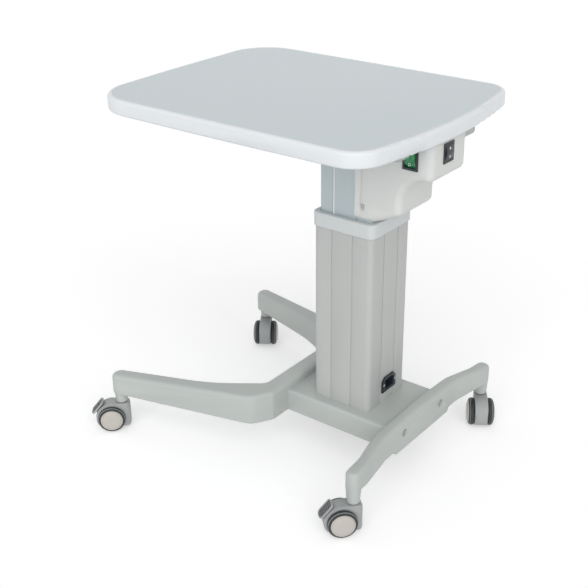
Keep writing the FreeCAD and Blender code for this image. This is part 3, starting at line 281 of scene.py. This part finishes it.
def powder_coat(name, colour, darker, roughness):
    """A sprayed and baked coat on metal."""
    finish = Finish(name, colour, roughness)
    cloud = finish.step(finish.noise(CLOUD_SCALE, 4), 0.35, 0.75)
    peel = finish.noise(PEEL_SCALE, 3)
    finish.mottle(cloud * 0.6 + peel * 0.4, darker, 0.55)
    finish.feed("Roughness", finish.noise(SPECKLE_SCALE) * 0.16 + cloud * 0.06 + (roughness - 0.1))
    finish.bump(peel, 0.05, 0.35)
    return finish


FINISHES = {
    "base_paint": powder_coat("base_paint", shade(188, 193, 190), shade(175, 181, 178), 0.42),
    "column_paint": powder_coat("column_paint", shade(190, 192, 190), shade(181, 184, 182), 0.40),
    "motor_paint": powder_coat("motor_paint", shade(60, 62, 64), shade(46, 48, 50), 0.55),
}
print(len(FINISHES), "coats")

# %% [markdown]
# The inner tube is drawn aluminium with a satin coat. Drawing leaves fine lines along the tube, so its
# noise is stretched upwards.

# %% Inner tube
tube = Finish("inner_column", shade(188, 198, 201), 0.36, 0.25)
draw_lines = tube.noise(700, 3, stretch=(1, 1, 0.01))
tube.mottle(draw_lines, shade(176, 187, 191), 0.7)
tube.feed("Roughness", draw_lines * 0.14 + 0.28)
tube.bump(draw_lines, 0.02, 0.3)
FINISHES["inner_column"] = tube
print("drawn tube ready")

# %% [markdown]
# The top is a laminate on a wood board: a quiet blue grey with fibres that are only seen close by, and
# a satin face. Its edge band and the caps are moulded and smoother.

# %% Laminate
laminate = Finish("tabletop", shade(210, 219, 222), 0.34)
fibre = laminate.step(laminate.noise(1400, 2), 0.40, 0.62)
haze = laminate.noise(3.0, 2)
laminate.mottle(fibre * 0.45 + haze * 0.4, shade(199, 210, 214), 0.8)
laminate.feed("Roughness", haze * 0.10 + fibre * 0.05 + 0.26)
laminate.bump(fibre, 0.012, 0.4)
FINISHES["tabletop"] = laminate
print("laminate ready")

# %% [markdown]
# Moulded plastics differ in how the mould was finished: a polished mould for the edge band and the
# wheel caps, a fine spark grain for the housing, the collar and the casters, and a coarser one for
# black switch parts.

# %% Moulded plastics
def moulded(name, colour, darker, roughness, grain_scale, grain_depth):
    """Plastic with the grain of its mould."""
    finish = Finish(name, colour, roughness)
    grain = finish.noise(grain_scale, 3)
    cloud = finish.noise(14, 3)
    finish.mottle(grain * 0.5 + cloud * 0.5, darker, 0.6)
    finish.feed("Roughness", grain * 0.12 + cloud * 0.08 + (roughness - 0.1))
    finish.bump(grain, grain_depth, 0.5)
    return finish


PLASTICS = {
    "edge_band": ((231, 235, 238), (226, 231, 234), 0.26, 900, 0.008),
    "housing_plastic": ((221, 223, 221), (212, 214, 211), 0.42, 1100, 0.03),
    "collar_plastic": ((212, 216, 217), (203, 208, 209), 0.38, 1000, 0.03),
    "caster_plastic": ((168, 170, 170), (150, 152, 152), 0.40, 1200, 0.04),
    "hub_plastic": ((194, 190, 183), (184, 180, 172), 0.24, 500, 0.02),
    "slide_plastic": ((232, 231, 225), (220, 219, 212), 0.35, 900, 0.02),
    "black_plastic": ((35, 42, 48), (24, 30, 34), 0.36, 1500, 0.03),
    "supply_grey": ((112, 114, 116), (98, 100, 102), 0.50, 900, 0.04),
    "circuit_green": ((38, 92, 58), (28, 74, 46), 0.34, 300, 0.03),
}
for name, (colour, darker, roughness, grain_scale, grain_depth) in PLASTICS.items():
    FINISHES[name] = moulded(name, shade(*colour), shade(*darker), roughness, grain_scale, grain_depth)
print(len(PLASTICS), "plastics")

# %% [markdown]
# Tyre rubber is dark and a little dusty, more so in patches. The green lens of the mains switch glows
# a little from the lamp behind it, in upright streaks where the lens is ribbed inside.

# %% Rubber and lens
rubber = Finish("tyre", shade(40, 47, 50), 0.55)
dust = rubber.step(rubber.noise(45, 4), 0.45, 0.80)
rubber.mottle(dust, shade(66, 73, 74), 0.7)
rubber.feed("Roughness", dust * 0.2 + 0.45)
rubber.bump(rubber.noise(800, 3), 0.04, 0.5)
FINISHES["tyre"] = rubber

lens_glow = Finish("green_lens", shade(12, 96, 52), 0.22)
streak = lens_glow.step(lens_glow.noise(330, 3, stretch=(1, 1, 0.3)), 0.38, 0.66)
lens_glow.mottle(streak, shade(52, 150, 96), 0.9)
lens_glow.feed("Roughness", streak * 0.1 + 0.16)
lens_glow.shader.inputs["Emission Color"].default_value = (*shade(20, 150, 78), 1)
lens_glow.shader.inputs["Emission Strength"].default_value = 0.05
FINISHES["green_lens"] = lens_glow
print("rubber and lens ready")

# %% [markdown]
# Metals: zinc plate on the screws and axles, die casting on the gearbox, turned bronze on the nut and
# plated brass on the inlet's blades. Each is metallic, with a roughness that follows its surface.

# %% Metals
METALS = {
    "steel": ((196, 197, 198), (170, 172, 175), 0.30, 600),
    "gearbox_metal": ((186, 188, 190), (160, 162, 165), 0.48, 260),
    "bronze": ((205, 168, 108), (176, 136, 82), 0.28, 500),
    "contact_metal": ((220, 208, 160), (196, 180, 130), 0.22, 500),
}
for name, (colour, darker, roughness, scale) in METALS.items():
    metal = Finish(name, shade(*colour), roughness, 1.0)
    plate = metal.noise(scale, 4)
    metal.mottle(plate, shade(*darker), 0.8)
    metal.feed("Roughness", plate * 0.2 + (roughness - 0.1))
    metal.bump(plate, 0.02, 0.4)
    FINISHES[name] = metal
print(len(FINISHES), "finishes in all")

# %% [markdown]
# Every solid of the frame gets the finish of its slot. The ones that are modelled again below take it
# over from here.

# %% Finishes on the frame's solids
SLOTS = {row["node"]: row["material_slot"] for row in frame["record"]["subparts"]}
for node, slot_name in SLOTS.items():
    mesh = frame["nodes"][node].data
    mesh.materials.clear()
    mesh.materials.append(FINISHES[slot_name].material)
print("finished", len(SLOTS), "nodes")

# %% [markdown]
# ## Modelling
# Each new piece is shaped as by hand: a primitive or a merged copy of a solid, then edit mode, then
# modifiers. `shaping` opens edit mode with nothing selected, and `pick` selects by place, where two
# places closer than `CLOSE` millimetres are the same.

# %% Edit mode helpers
CLOSE = 0.1


def choose(piece):
    """Make a piece the only one that is selected, and the active one."""
    bpy.ops.object.select_all(action="DESELECT")
    piece.select_set(True)
    bpy.context.view_layer.objects.active = piece


@contextmanager
def shaping(piece):
    """Edit mode on one piece, starting with nothing selected."""
    choose(piece)
    bpy.ops.object.mode_set(mode="EDIT")
    bpy.ops.mesh.select_mode(type="VERT")
    bpy.ops.mesh.select_all(action="DESELECT")
    yield
    bpy.ops.object.mode_set(mode="OBJECT")


def pick(kind, test, origin=COLUMN):
    """Select the vertices, edges or faces whose middle, in millimetres about an origin, passes a test."""
    bpy.ops.mesh.select_mode(type=kind)
    bpy.ops.mesh.select_all(action="DESELECT")
    mesh = bmesh.from_edit_mesh(bpy.context.object.data)
    for part in {"VERT": mesh.verts, "EDGE": mesh.edges, "FACE": mesh.faces}[kind]:
        points = [part] if kind == "VERT" else list(part.verts)
        middle = sum((point.co for point in points), Vector()) / len(points)
        if test((middle - origin) / MM, part):
            part.select = True
    mesh.select_flush_mode()
    bmesh.update_edit_mesh(bpy.context.object.data)


def modify(piece, kind, **settings):
    """Add a modifier with its settings and apply it."""
    choose(piece)
    modifier = piece.modifiers.new(kind.lower(), kind)
    for key, value in settings.items():
        setattr(modifier, key, value)
    bpy.ops.object.modifier_apply(modifier=modifier.name)


def join(first, *others):
    """One piece from several."""
    choose(first)
    for other in others:
        other.select_set(True)
    bpy.ops.object.join()
    return first


print("edit helpers ready")

# %% [markdown]
# A finished piece has smooth shading up to an angle, its finish, a body to ride on, and the name of the
# solid that it stands for. The body is the one that this solid is on. Angles are in degrees, and points
# closer than `SAME_POINT` millimetres become one when the loose triangles of a solid are joined.

# %% Hand a piece over
BODY_OF = {node: body for body, nodes in frame["record"]["behaviour"]["bodies"].items() for node in nodes}
SHARP_ANGLE, SMOOTH_ANGLE, SOFT_PIECE_SMOOTH_ANGLE = 32.0, 35.0, 40.0
SAME_POINT, SAME_PLANE_ANGLE = 0.02, 0.6


def attach(piece, slot_name, body, angle=SMOOTH_ANGLE):
    """Smooth and paint a piece, and let it ride on a body."""
    choose(piece)
    bpy.ops.object.transform_apply(location=True, rotation=True, scale=True)
    bpy.ops.object.shade_smooth_by_angle(angle=math.radians(angle))
    piece.data.materials.clear()
    piece.data.materials.append(FINISHES[slot_name].material)
    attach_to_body(piece, body)


def settle(piece, node, angle=SMOOTH_ANGLE):
    """Attach a piece that stands for a solid, with that solid's slot and body."""
    attach(piece, SLOTS[node], BODY_OF[node], angle)
    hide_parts(node)
    return piece


def merged_copy(node, name):
    """A copy of a solid's mesh with its loose triangles joined and its flat faces whole."""
    piece = bpy.data.objects.new(name, frame["nodes"][node].data.copy())
    piece.data.name = name
    scene.collection.objects.link(piece)
    with shaping(piece):
        bpy.ops.mesh.select_all(action="SELECT")
        bpy.ops.mesh.remove_doubles(threshold=SAME_POINT * MM)
        bpy.ops.mesh.dissolve_limited(angle_limit=math.radians(SAME_PLANE_ANGLE))
    return piece


def round_edges(piece, width_mm, segments=3):
    """Bevel the edges where two faces meet at a sharp angle."""
    modify(piece, "BEVEL", width=width_mm * MM, segments=segments, limit_method="ANGLE",
           angle_limit=math.radians(SHARP_ANGLE), use_clamp_overlap=True, miter_outer="MITER_SHARP")


def soften(node, width_mm, segments=3, carve=None):
    """Stand a copy with rounded edges in the place of a solid whose edges are sharp."""
    piece = merged_copy(node, node + "_soft")
    if carve:
        carve(piece)
    round_edges(piece, width_mm, segments)
    return settle(piece, node, angle=SOFT_PIECE_SMOOTH_ANGLE)


print("bodies known:", len(set(BODY_OF.values())))

# %% [markdown]
# ## Casters
# Wheels, caps and knobs are turned shapes. Half a section is drawn as a chain of points and `spin`
# sweeps the chain round the axle. That gives even rings of faces, which a cylinder with bevels would
# not.

# %% Turned shapes
TURN_STEPS = 56


def draw_chain(name, points):
    """A chain of vertices in the XY plane, drawn point by point in millimetres."""
    bpy.ops.object.select_all(action="DESELECT")
    bpy.ops.mesh.primitive_plane_add(size=MM)
    piece = bpy.context.object
    piece.name = piece.data.name = name
    with shaping(piece):
        bpy.ops.mesh.select_all(action="SELECT")
        bpy.ops.mesh.merge(type="CENTER")
        here = Vector((0, 0, 0))
        for index, (x, y) in enumerate(points):
            there = Vector((x, y, 0)) * MM
            if index == 0:
                bpy.ops.transform.translate(value=there)
            else:
                bpy.ops.mesh.extrude_vertices_move(TRANSFORM_OT_translate={"value": there - here})
            here = there
    return piece


def turn_chain(name, points, steps=TURN_STEPS):
    """A chain drawn as (radius, height), swept round the Y axis and closed."""
    piece = draw_chain(name, points)
    with shaping(piece):
        bpy.ops.mesh.select_all(action="SELECT")
        bpy.ops.mesh.spin(steps=steps, angle=2 * math.pi, center=(0, 0, 0), axis=(0, 1, 0))
        bpy.ops.mesh.select_all(action="SELECT")
        bpy.ops.mesh.remove_doubles(threshold=0.000002)
        bpy.ops.mesh.normals_make_consistent(inside=False)
    return piece


def stamp(pattern, name, move):
    """A copy of a pattern with its own mesh, moved to its place."""
    piece = bpy.data.objects.new(name, pattern.data.copy())
    piece.data.name = name
    scene.collection.objects.link(piece)
    piece.data.transform(move)
    if move.determinant() < 0:
        with shaping(piece):
            bpy.ops.mesh.select_all(action="SELECT")
            bpy.ops.mesh.flip_normals()
    return piece


def discard(*patterns):
    """Take away patterns that have been stamped."""
    for pattern in patterns:
        bpy.data.objects.remove(pattern)


print("a turned shape has", TURN_STEPS, "steps")

# %% [markdown]
# The tyre is a barrel: its crown is near the hood, and it falls away towards the cap. A groove runs
# round its shoulder, and a thin pale ring in that groove is a painted highlight, standing for the light
# that the shoulder catches. The cap is a shallow dome with a ring round its edge and a small dimple
# where the mould was filled.

# %% Tyre and cap
tyre_pattern = turn_chain("tyre_pattern", [
    (20.15, 12.0), (22.9, 12.0), (23.4, 12.2), (24.1, 12.9), (24.75, 14.3), (25.0, 16.2), (24.88, 17.5),
    (24.55, 18.6), (24.35, 19.05), (23.65, 19.25), (23.6, 20.0), (23.85, 20.15), (23.2, 20.8), (22.5, 21.4),
    (21.7, 22.0), (21.1, 22.25), (20.6, 22.1), (20.15, 21.6), (20.15, 12.0)])

cap_pattern = turn_chain("cap_pattern", [
    (3.05, 12.1), (20.0, 12.1), (20.0, 22.2), (19.6, 22.9), (18.9, 23.25), (18.5, 23.0), (18.1, 23.0),
    (17.7, 23.6), (16.9, 24.3), (14.5, 24.9), (11.0, 25.2), (7.0, 25.3), (3.0, 25.3), (2.5, 24.9),
    (0.0, 24.9)])
# Painted highlight: a thin pale ring in the tyre's groove, where the shoulder catches the light.
painted_highlight_ring = turn_chain("painted_highlight_ring", [
    (23.5, 19.35), (24.2, 19.4), (24.12, 19.75), (23.5, 19.9), (23.5, 19.35)])
# The painted highlight ring is joined to the cap, so it takes the cap's finish.
join(cap_pattern, painted_highlight_ring)
print("tyre", len(tyre_pattern.data.polygons), "faces, cap", len(cap_pattern.data.polygons))

# %% [markdown]
# The patterns lie round the origin. Every wheel is a copy with its own mesh, put on the axle of its
# caster: turned to the trail of the caster, and mirrored for the other side of the hood.

# %% Wheels on their axles
CASTERS = {
    "front_near": ((-378, -210), 224),
    "rear_near": ((131, -205), 227),
    "rear_far": ((131, 205), -56),
    "front_far": ((-378, 210), -56),
}
TRAIL, AXLE_HEIGHT = 20.0, 25.0


def axle_frame(caster, mirrored=False):
    """The move from a pattern at the origin to the axle of a caster."""
    (x, y), trail_angle = CASTERS[caster]
    side = Matrix.Diagonal((1, -1 if mirrored else 1, 1, 1))
    on_axle = Matrix.Translation((TRAIL * MM, 0, AXLE_HEIGHT * MM))
    trail = Matrix.Rotation(math.radians(trail_angle), 4, "Z")
    return Matrix.Translation(spot(x, y, 0)) @ trail @ on_axle @ side


for caster in CASTERS:
    for side in ("left", "right"):
        move = axle_frame(caster, mirrored=side == "right")
        for pattern, part in ((tyre_pattern, "tyre"), (cap_pattern, "hub")):
            node = f"{part}_{caster}_{side}"
            settle(stamp(pattern, node + "_turned", move), node)
discard(tyre_pattern, cap_pattern)
print("16 turned pieces on 8 wheels")

# %% [markdown]
# The hoods keep the shape that they have, but no moulded edge is sharp. A merged copy of the solid gets
# a small bevel where two faces meet at an angle, which catches the light as the real edge does.

# %% Hoods
for caster in CASTERS:
    piece = soften("hood_" + caster, 0.9)
    print(piece.name, len(piece.data.polygons), "faces")

# %% [markdown]
# The brake pedal is a tray: its face is inset and sunk, and a darker pad with ribs for the shoe lies in
# the tray. The pad is modelled once, lying flat over the origin: one rib is a cube with bevelled edges,
# an array repeats it, and a plate joins the ribs.

# %% Brake levers
PEDAL_ANGLE, PEDAL_REACH = 40.0, 33.5
PEDAL_RIM, PEDAL_SINK = 1.8, 1.6
PAD_LENGTH, PAD_WIDTH, PAD_CORNER, RIB_COUNT, RIB_PITCH = 27.0, 17.4, 4.5, 6, 4.2
PLATE_THICKNESS, RIB_WIDTH, RIB_HEIGHT, RIB_SHORTER = 0.5, 2.0, 1.3, 2.0
PEDAL_FACE_AREA, SAME_WAY = 0.0003, 0.999


def slab(name, size, place=(0, 0, 0)):
    """A cube primitive at a size and place in millimetres, made ready for shaping."""
    bpy.ops.object.select_all(action="DESELECT")
    bpy.ops.mesh.primitive_cube_add(size=1, location=Vector(place) * MM, scale=Vector(size) * MM)
    piece = bpy.context.object
    piece.name = piece.data.name = name
    bpy.ops.object.transform_apply(location=True, rotation=True, scale=True)
    return piece


def sink_pedal(piece, outwards):
    """Inset the pedal's face and push it in, to leave a tray with a rim."""
    with shaping(piece):
        pick("FACE", lambda place, face: (face.normal.dot(outwards) > SAME_WAY
                                          and face.calc_area() > PEDAL_FACE_AREA))
        bpy.ops.mesh.inset(thickness=PEDAL_RIM * MM)
        bpy.ops.mesh.extrude_region_move(TRANSFORM_OT_translate={"value": -outwards * PEDAL_SINK * MM})


plate_middle = PLATE_THICKNESS / 2
pad_plate = slab("pad_plate", (PAD_LENGTH, PAD_WIDTH, PLATE_THICKNESS), (0, 0, plate_middle))
with shaping(pad_plate):
    pick("EDGE", lambda place, edge: (abs(abs(place.x) - PAD_LENGTH / 2) < CLOSE
                                      and abs(place.z - plate_middle) < CLOSE), Vector())
    bpy.ops.mesh.bevel(offset=PAD_CORNER * MM, segments=5)
first_rib = -RIB_PITCH * (RIB_COUNT - 1) / 2
pad_rib = slab("pad_rib", (RIB_WIDTH, PAD_WIDTH - RIB_SHORTER, RIB_HEIGHT), (first_rib, 0, 0.9))
modify(pad_rib, "BEVEL", width=0.5 * MM, segments=2)
modify(pad_rib, "ARRAY", count=RIB_COUNT, use_relative_offset=False, use_constant_offset=True,
       constant_offset_displace=(RIB_PITCH * MM, 0, 0))
pad_pattern = join(pad_plate, pad_rib)

tilt = Matrix.Rotation(math.radians(90 - PEDAL_ANGLE), 4, "Y")
for caster in ("front_near", "rear_near"):
    pedal_frame = axle_frame(caster) @ tilt
    pedal_normal = (pedal_frame.to_3x3() @ Vector((0, 0, 1))).normalized()
    node = "brake_lever_" + caster
    lever = soften(node, 0.5, carve=lambda piece: sink_pedal(piece, pedal_normal))
    in_tray = Matrix.Translation((0, 0, (PEDAL_REACH - PEDAL_SINK) * MM))
    attach(stamp(pad_pattern, "pedal_pad_" + caster, pedal_frame @ in_tray), "supply_grey", BODY_OF[node])
    print(lever.name, len(lever.data.polygons), "faces")
discard(pad_pattern)

# %% [markdown]
# ## Base and column
# The castings and the sheet parts have edges that the coat rounds further. The outer tube's two
# shallow grooves on each face are drawn, not cut, so their lips are soft too.

# %% Base and column
for node, width in (("base_plate", 1.2), ("front_beam", 1.2), ("rear_beam", 1.2), ("outer_tube", 0.7),
                    ("top_collar", 0.8), ("top_frame", 0.8), ("mains_inlet", 0.5)):
    piece = soften(node, width)
    print(piece.name, len(piece.data.polygons), "faces")

# %% [markdown]
# The grooves of the inner tube hold bright slide strips. Each strip is a slim bar with a round face that
# ends just below the tube's own face, so it clears the pads in the outer tube's mouth. The two grooves
# under the housing are left out.

# %% Slide strips
STRIP_WIDTH, STRIP_BELOW_FACE, STRIP_HEIGHT = 3.0, 0.05, 0.9
GROOVE_OFFSET, GROOVE_START, GROOVE_END = 22.0, 36.0, 4.0

inner_low, inner_high = place_box("inner_tube")
strip_length = inner_high.z - inner_low.z - GROOVE_START - GROOVE_END
strip_z = inner_low.z + GROOVE_START + strip_length / 2
strip = slab("strip", (STRIP_WIDTH, STRIP_HEIGHT, strip_length))
modify(strip, "BEVEL", width=0.4 * MM, segments=3)
strips = []
for turn_angle, offset, reach in ((0, -GROOVE_OFFSET, -inner_low.y), (180, GROOVE_OFFSET, inner_high.y),
                                  (270, -GROOVE_OFFSET, -inner_low.x), (270, GROOVE_OFFSET, -inner_low.x)):
    depth = STRIP_BELOW_FACE + STRIP_HEIGHT / 2 - reach
    in_groove = Matrix.Translation(Vector((offset, depth, strip_z)) * MM)
    about_column = Matrix.Translation(COLUMN) @ Matrix.Rotation(math.radians(turn_angle), 4, "Z")
    strips.append(stamp(strip, "slide_strips", about_column @ in_groove))
attach(join(*strips), "edge_band", BODY_OF["inner_tube"])
discard(strip)
print(len(strips), "strips of", round(strip_length), "mm")

# %% [markdown]
# ## Top
# The edge band is one moulding: its own fillets are in the solid, and only the lip where it meets the
# laminate is sharp. A small bevel there leaves the fine line that shows between band and board. The
# steel head plate under the board is softened in the same way.

# %% Edge band
for node, width in (("tabletop_rim", 0.5), ("head_plate", 0.6)):
    piece = soften(node, width, segments=2)
    print(piece.name, len(piece.data.polygons), "faces")

# %% [markdown]
# ## Screws
# A pan head is a turned dome on a shank. Its cross recess is cut with a Boolean modifier by two crossed
# bars. One pattern, facing +Y, is made once and scaled for the smaller screws. No two screws are driven
# to the same stop, so each recess is turned by some degrees more than the one before.

# %% Screw pattern
HEAD_RADIUS, HEAD_HEIGHT = 3.6, 1.6
FIRST_STOP, NEXT_STOP = 12, 31

screw_pattern = turn_chain("screw_pattern", [
    (0.0, -7.0), (1.3, -7.0), (1.8, -6.3), (1.8, 0.0), (3.3, 0.0), (3.6, 0.25), (3.5, 0.75), (3.1, 1.2),
    (2.2, 1.5), (1.0, 1.6), (0.0, 1.6)], steps=32)
for name, size in (("cut_level", (3.8, 2.2, 0.8)), ("cut_upright", (0.8, 2.2, 3.8))):
    cutter = slab(name, size, (0, HEAD_HEIGHT, 0))
    modify(screw_pattern, "BOOLEAN", object=cutter, operation="DIFFERENCE", solver="EXACT")
    discard(cutter)


def drive_screws(node, name, places, turned, scale=1.0):
    """Put a screw at each place, facing +Y turned about the upright axis, as one piece for a node."""
    screws = []
    for index, (place, towards) in enumerate(zip(places, turned)):
        stop = math.radians(FIRST_STOP + NEXT_STOP * index)
        move = (Matrix.Translation(spot(*place)) @ Matrix.Rotation(math.radians(towards), 4, "Z")
                @ Matrix.Rotation(stop, 4, "Y") @ Matrix.Scale(scale, 4))
        screws.append(stamp(screw_pattern, name, move))
    settle(join(*screws), node)


print("screw", len(screw_pattern.data.polygons), "faces")

# %% [markdown]
# ## Control housing
# The near and far sides of the housing start with a flat flange beside the column and swell out to
# their full width in a soft shoulder. The plane cuts of `bisect` give that stretch rows of vertices, and
# each row is flattened to its own depth. Four screws stand in round pockets in the shoulder.

# %% Housing
SHOULDER = ((18.5, 1.2), (29.8, 1.2), (30.5, 1.0), (34.0, 0.7), (39.0, 0.35), (44.0, 0.1))
POCKET_RADIUS, POCKET_DEPTH, HOUSING_EDGE, ALREADY_FLAT = 4.6, 1.7, 1.6, 0.01

half_depth = place_box("control_housing")[1].y
screw_low, screw_high = place_box("housing_screws")
screw_x = (screw_low.x + screw_high.x) / 2
screw_zs = (screw_low.z + HEAD_RADIUS, screw_high.z - HEAD_RADIUS)


def swell(piece):
    """Give the sides their flange and shoulder."""
    with shaping(piece):
        for x, _ in SHOULDER[1:]:
            bpy.ops.mesh.select_all(action="SELECT")
            bpy.ops.mesh.bisect(plane_co=spot(x, 0, 0), plane_no=(1, 0, 0))
    for x, sink in SHOULDER:
        for side in (-1, 1):
            level = side * (half_depth - sink)
            with shaping(piece):
                pick("VERT", lambda place, vert: (abs(place.x - x) < CLOSE
                                                  and side * (place.y - level) > ALREADY_FLAT))
                bpy.ops.transform.resize(value=(1, 0, 1), center_override=spot(0, level, 0))


housing = merged_copy("control_housing", "control_housing_shaped")
round_edges(housing, HOUSING_EDGE)
swell(housing)
for z in screw_zs:
    for side in (-1, 1):
        bpy.ops.object.select_all(action="DESELECT")
        bpy.ops.mesh.primitive_cylinder_add(
            vertices=40, radius=POCKET_RADIUS * MM, depth=2 * POCKET_DEPTH * MM,
            rotation=(math.pi / 2, 0, 0), location=spot(screw_x, side * half_depth, z))
        cutter = bpy.context.object
        modify(housing, "BOOLEAN", object=cutter, operation="DIFFERENCE", solver="EXACT")
        discard(cutter)
settle(housing, "control_housing")
drive_screws("housing_screws", "housing_screws_turned",
             [(screw_x, side * (half_depth - POCKET_DEPTH), z) for side in (-1, 1) for z in screw_zs],
             (180, 180, 0, 0))
print("housing", len(housing.data.polygons), "faces")

# %% [markdown]
# The inlet's two screws are the same pattern at a smaller size.

# %% Inlet screws
inlet_low, inlet_high = place_box("inlet_screws")
small = (inlet_high.z - inlet_low.z) / 2 / HEAD_RADIUS
inlet_z = (inlet_low.z + inlet_high.z) / 2
drive_screws("inlet_screws", "inlet_screws_turned",
             [(inlet_high.x - HEAD_HEIGHT * small, y, inlet_z)
              for y in (inlet_low.y + HEAD_RADIUS * small, inlet_high.y - HEAD_RADIUS * small)],
             (-90, -90), small)
discard(screw_pattern)
print("small screws at", round(small, 2), "of the size")

# %% [markdown]
# ## Switches
# Both switches have a frame and a rocker with softened edges. The marks on them are the usual ones: a
# bar and a ring on the mains rocker, and an arrowhead each way on the lift rocker. A mark is a thin
# plate made facing +Y, and it lies on the sloping half of its rocker.

# %% Switches and their marks
ROCKER_SLOPE = 12.0
MARK_THICKNESS, MARK_SUNK = 0.5, 0.25
ARROW_RADIUS, RING_INNER, RING_OUTER = 2.8, 1.7, 2.4
POWER_MARK_RISE, LIFT_MARK_RISE = 7.0, 6.2

for node in ("power_bezel", "power_rocker", "lift_bezel", "lift_rocker"):
    soften(node, 0.5)

ring_mark = turn_chain("ring_mark", [
    (RING_INNER, 0.0), (RING_OUTER, 0.0), (RING_OUTER, MARK_THICKNESS), (RING_INNER, MARK_THICKNESS),
    (RING_INNER, 0.0)], steps=32)
bar_mark = slab("bar_mark", (0.8, MARK_THICKNESS, 4.6), (0, MARK_THICKNESS / 2, 0))
bpy.ops.object.select_all(action="DESELECT")
bpy.ops.mesh.primitive_circle_add(vertices=3, radius=ARROW_RADIUS * MM, fill_type="NGON",
                                  rotation=(math.pi / 2, 0, 0))
arrow_mark = bpy.context.object
bpy.ops.object.transform_apply(location=True, rotation=True, scale=True)
with shaping(arrow_mark):
    bpy.ops.mesh.select_all(action="SELECT")
    bpy.ops.mesh.extrude_region_move(TRANSFORM_OT_translate={"value": (0, MARK_THICKNESS * MM, 0)})
    bpy.ops.mesh.select_all(action="SELECT")
    bpy.ops.mesh.normals_make_consistent(inside=False)
for mark in (bar_mark, arrow_mark):
    modify(mark, "BEVEL", width=0.12 * MM, segments=2)


def lay_marks(rocker, name, towards, rise, upper, lower):
    """Lay a mark on the upper and the lower half of a rocker that faces a way in degrees."""
    low, high = place_box(rocker)
    middle = (low + high) / 2
    facing = Vector((-math.sin(math.radians(towards)), math.cos(math.radians(towards)), 0))
    ridge = max((corner - middle).dot(facing) for corner in (low, high))
    laid = []
    for side, mark in ((1, upper), (-1, lower)):
        out = ridge - rise * math.tan(math.radians(ROCKER_SLOPE)) - MARK_SUNK
        place = middle + facing * out + Vector((0, 0, side * rise))
        move = (Matrix.Translation(spot(*place)) @ Matrix.Rotation(math.radians(towards), 4, "Z")
                @ Matrix.Rotation(math.radians(side * ROCKER_SLOPE), 4, "X"))
        if side < 0:
            move = move @ Matrix.Rotation(math.pi, 4, "Y")
        laid.append(stamp(mark, name, move))
    attach(join(*laid), "edge_band", BODY_OF[rocker])


lay_marks("power_rocker", "power_marks", 180, POWER_MARK_RISE, bar_mark, ring_mark)
lay_marks("lift_rocker", "lift_marks", -90, LIFT_MARK_RISE, arrow_mark, arrow_mark)
discard(ring_mark, bar_mark, arrow_mark)
print("two switches marked")
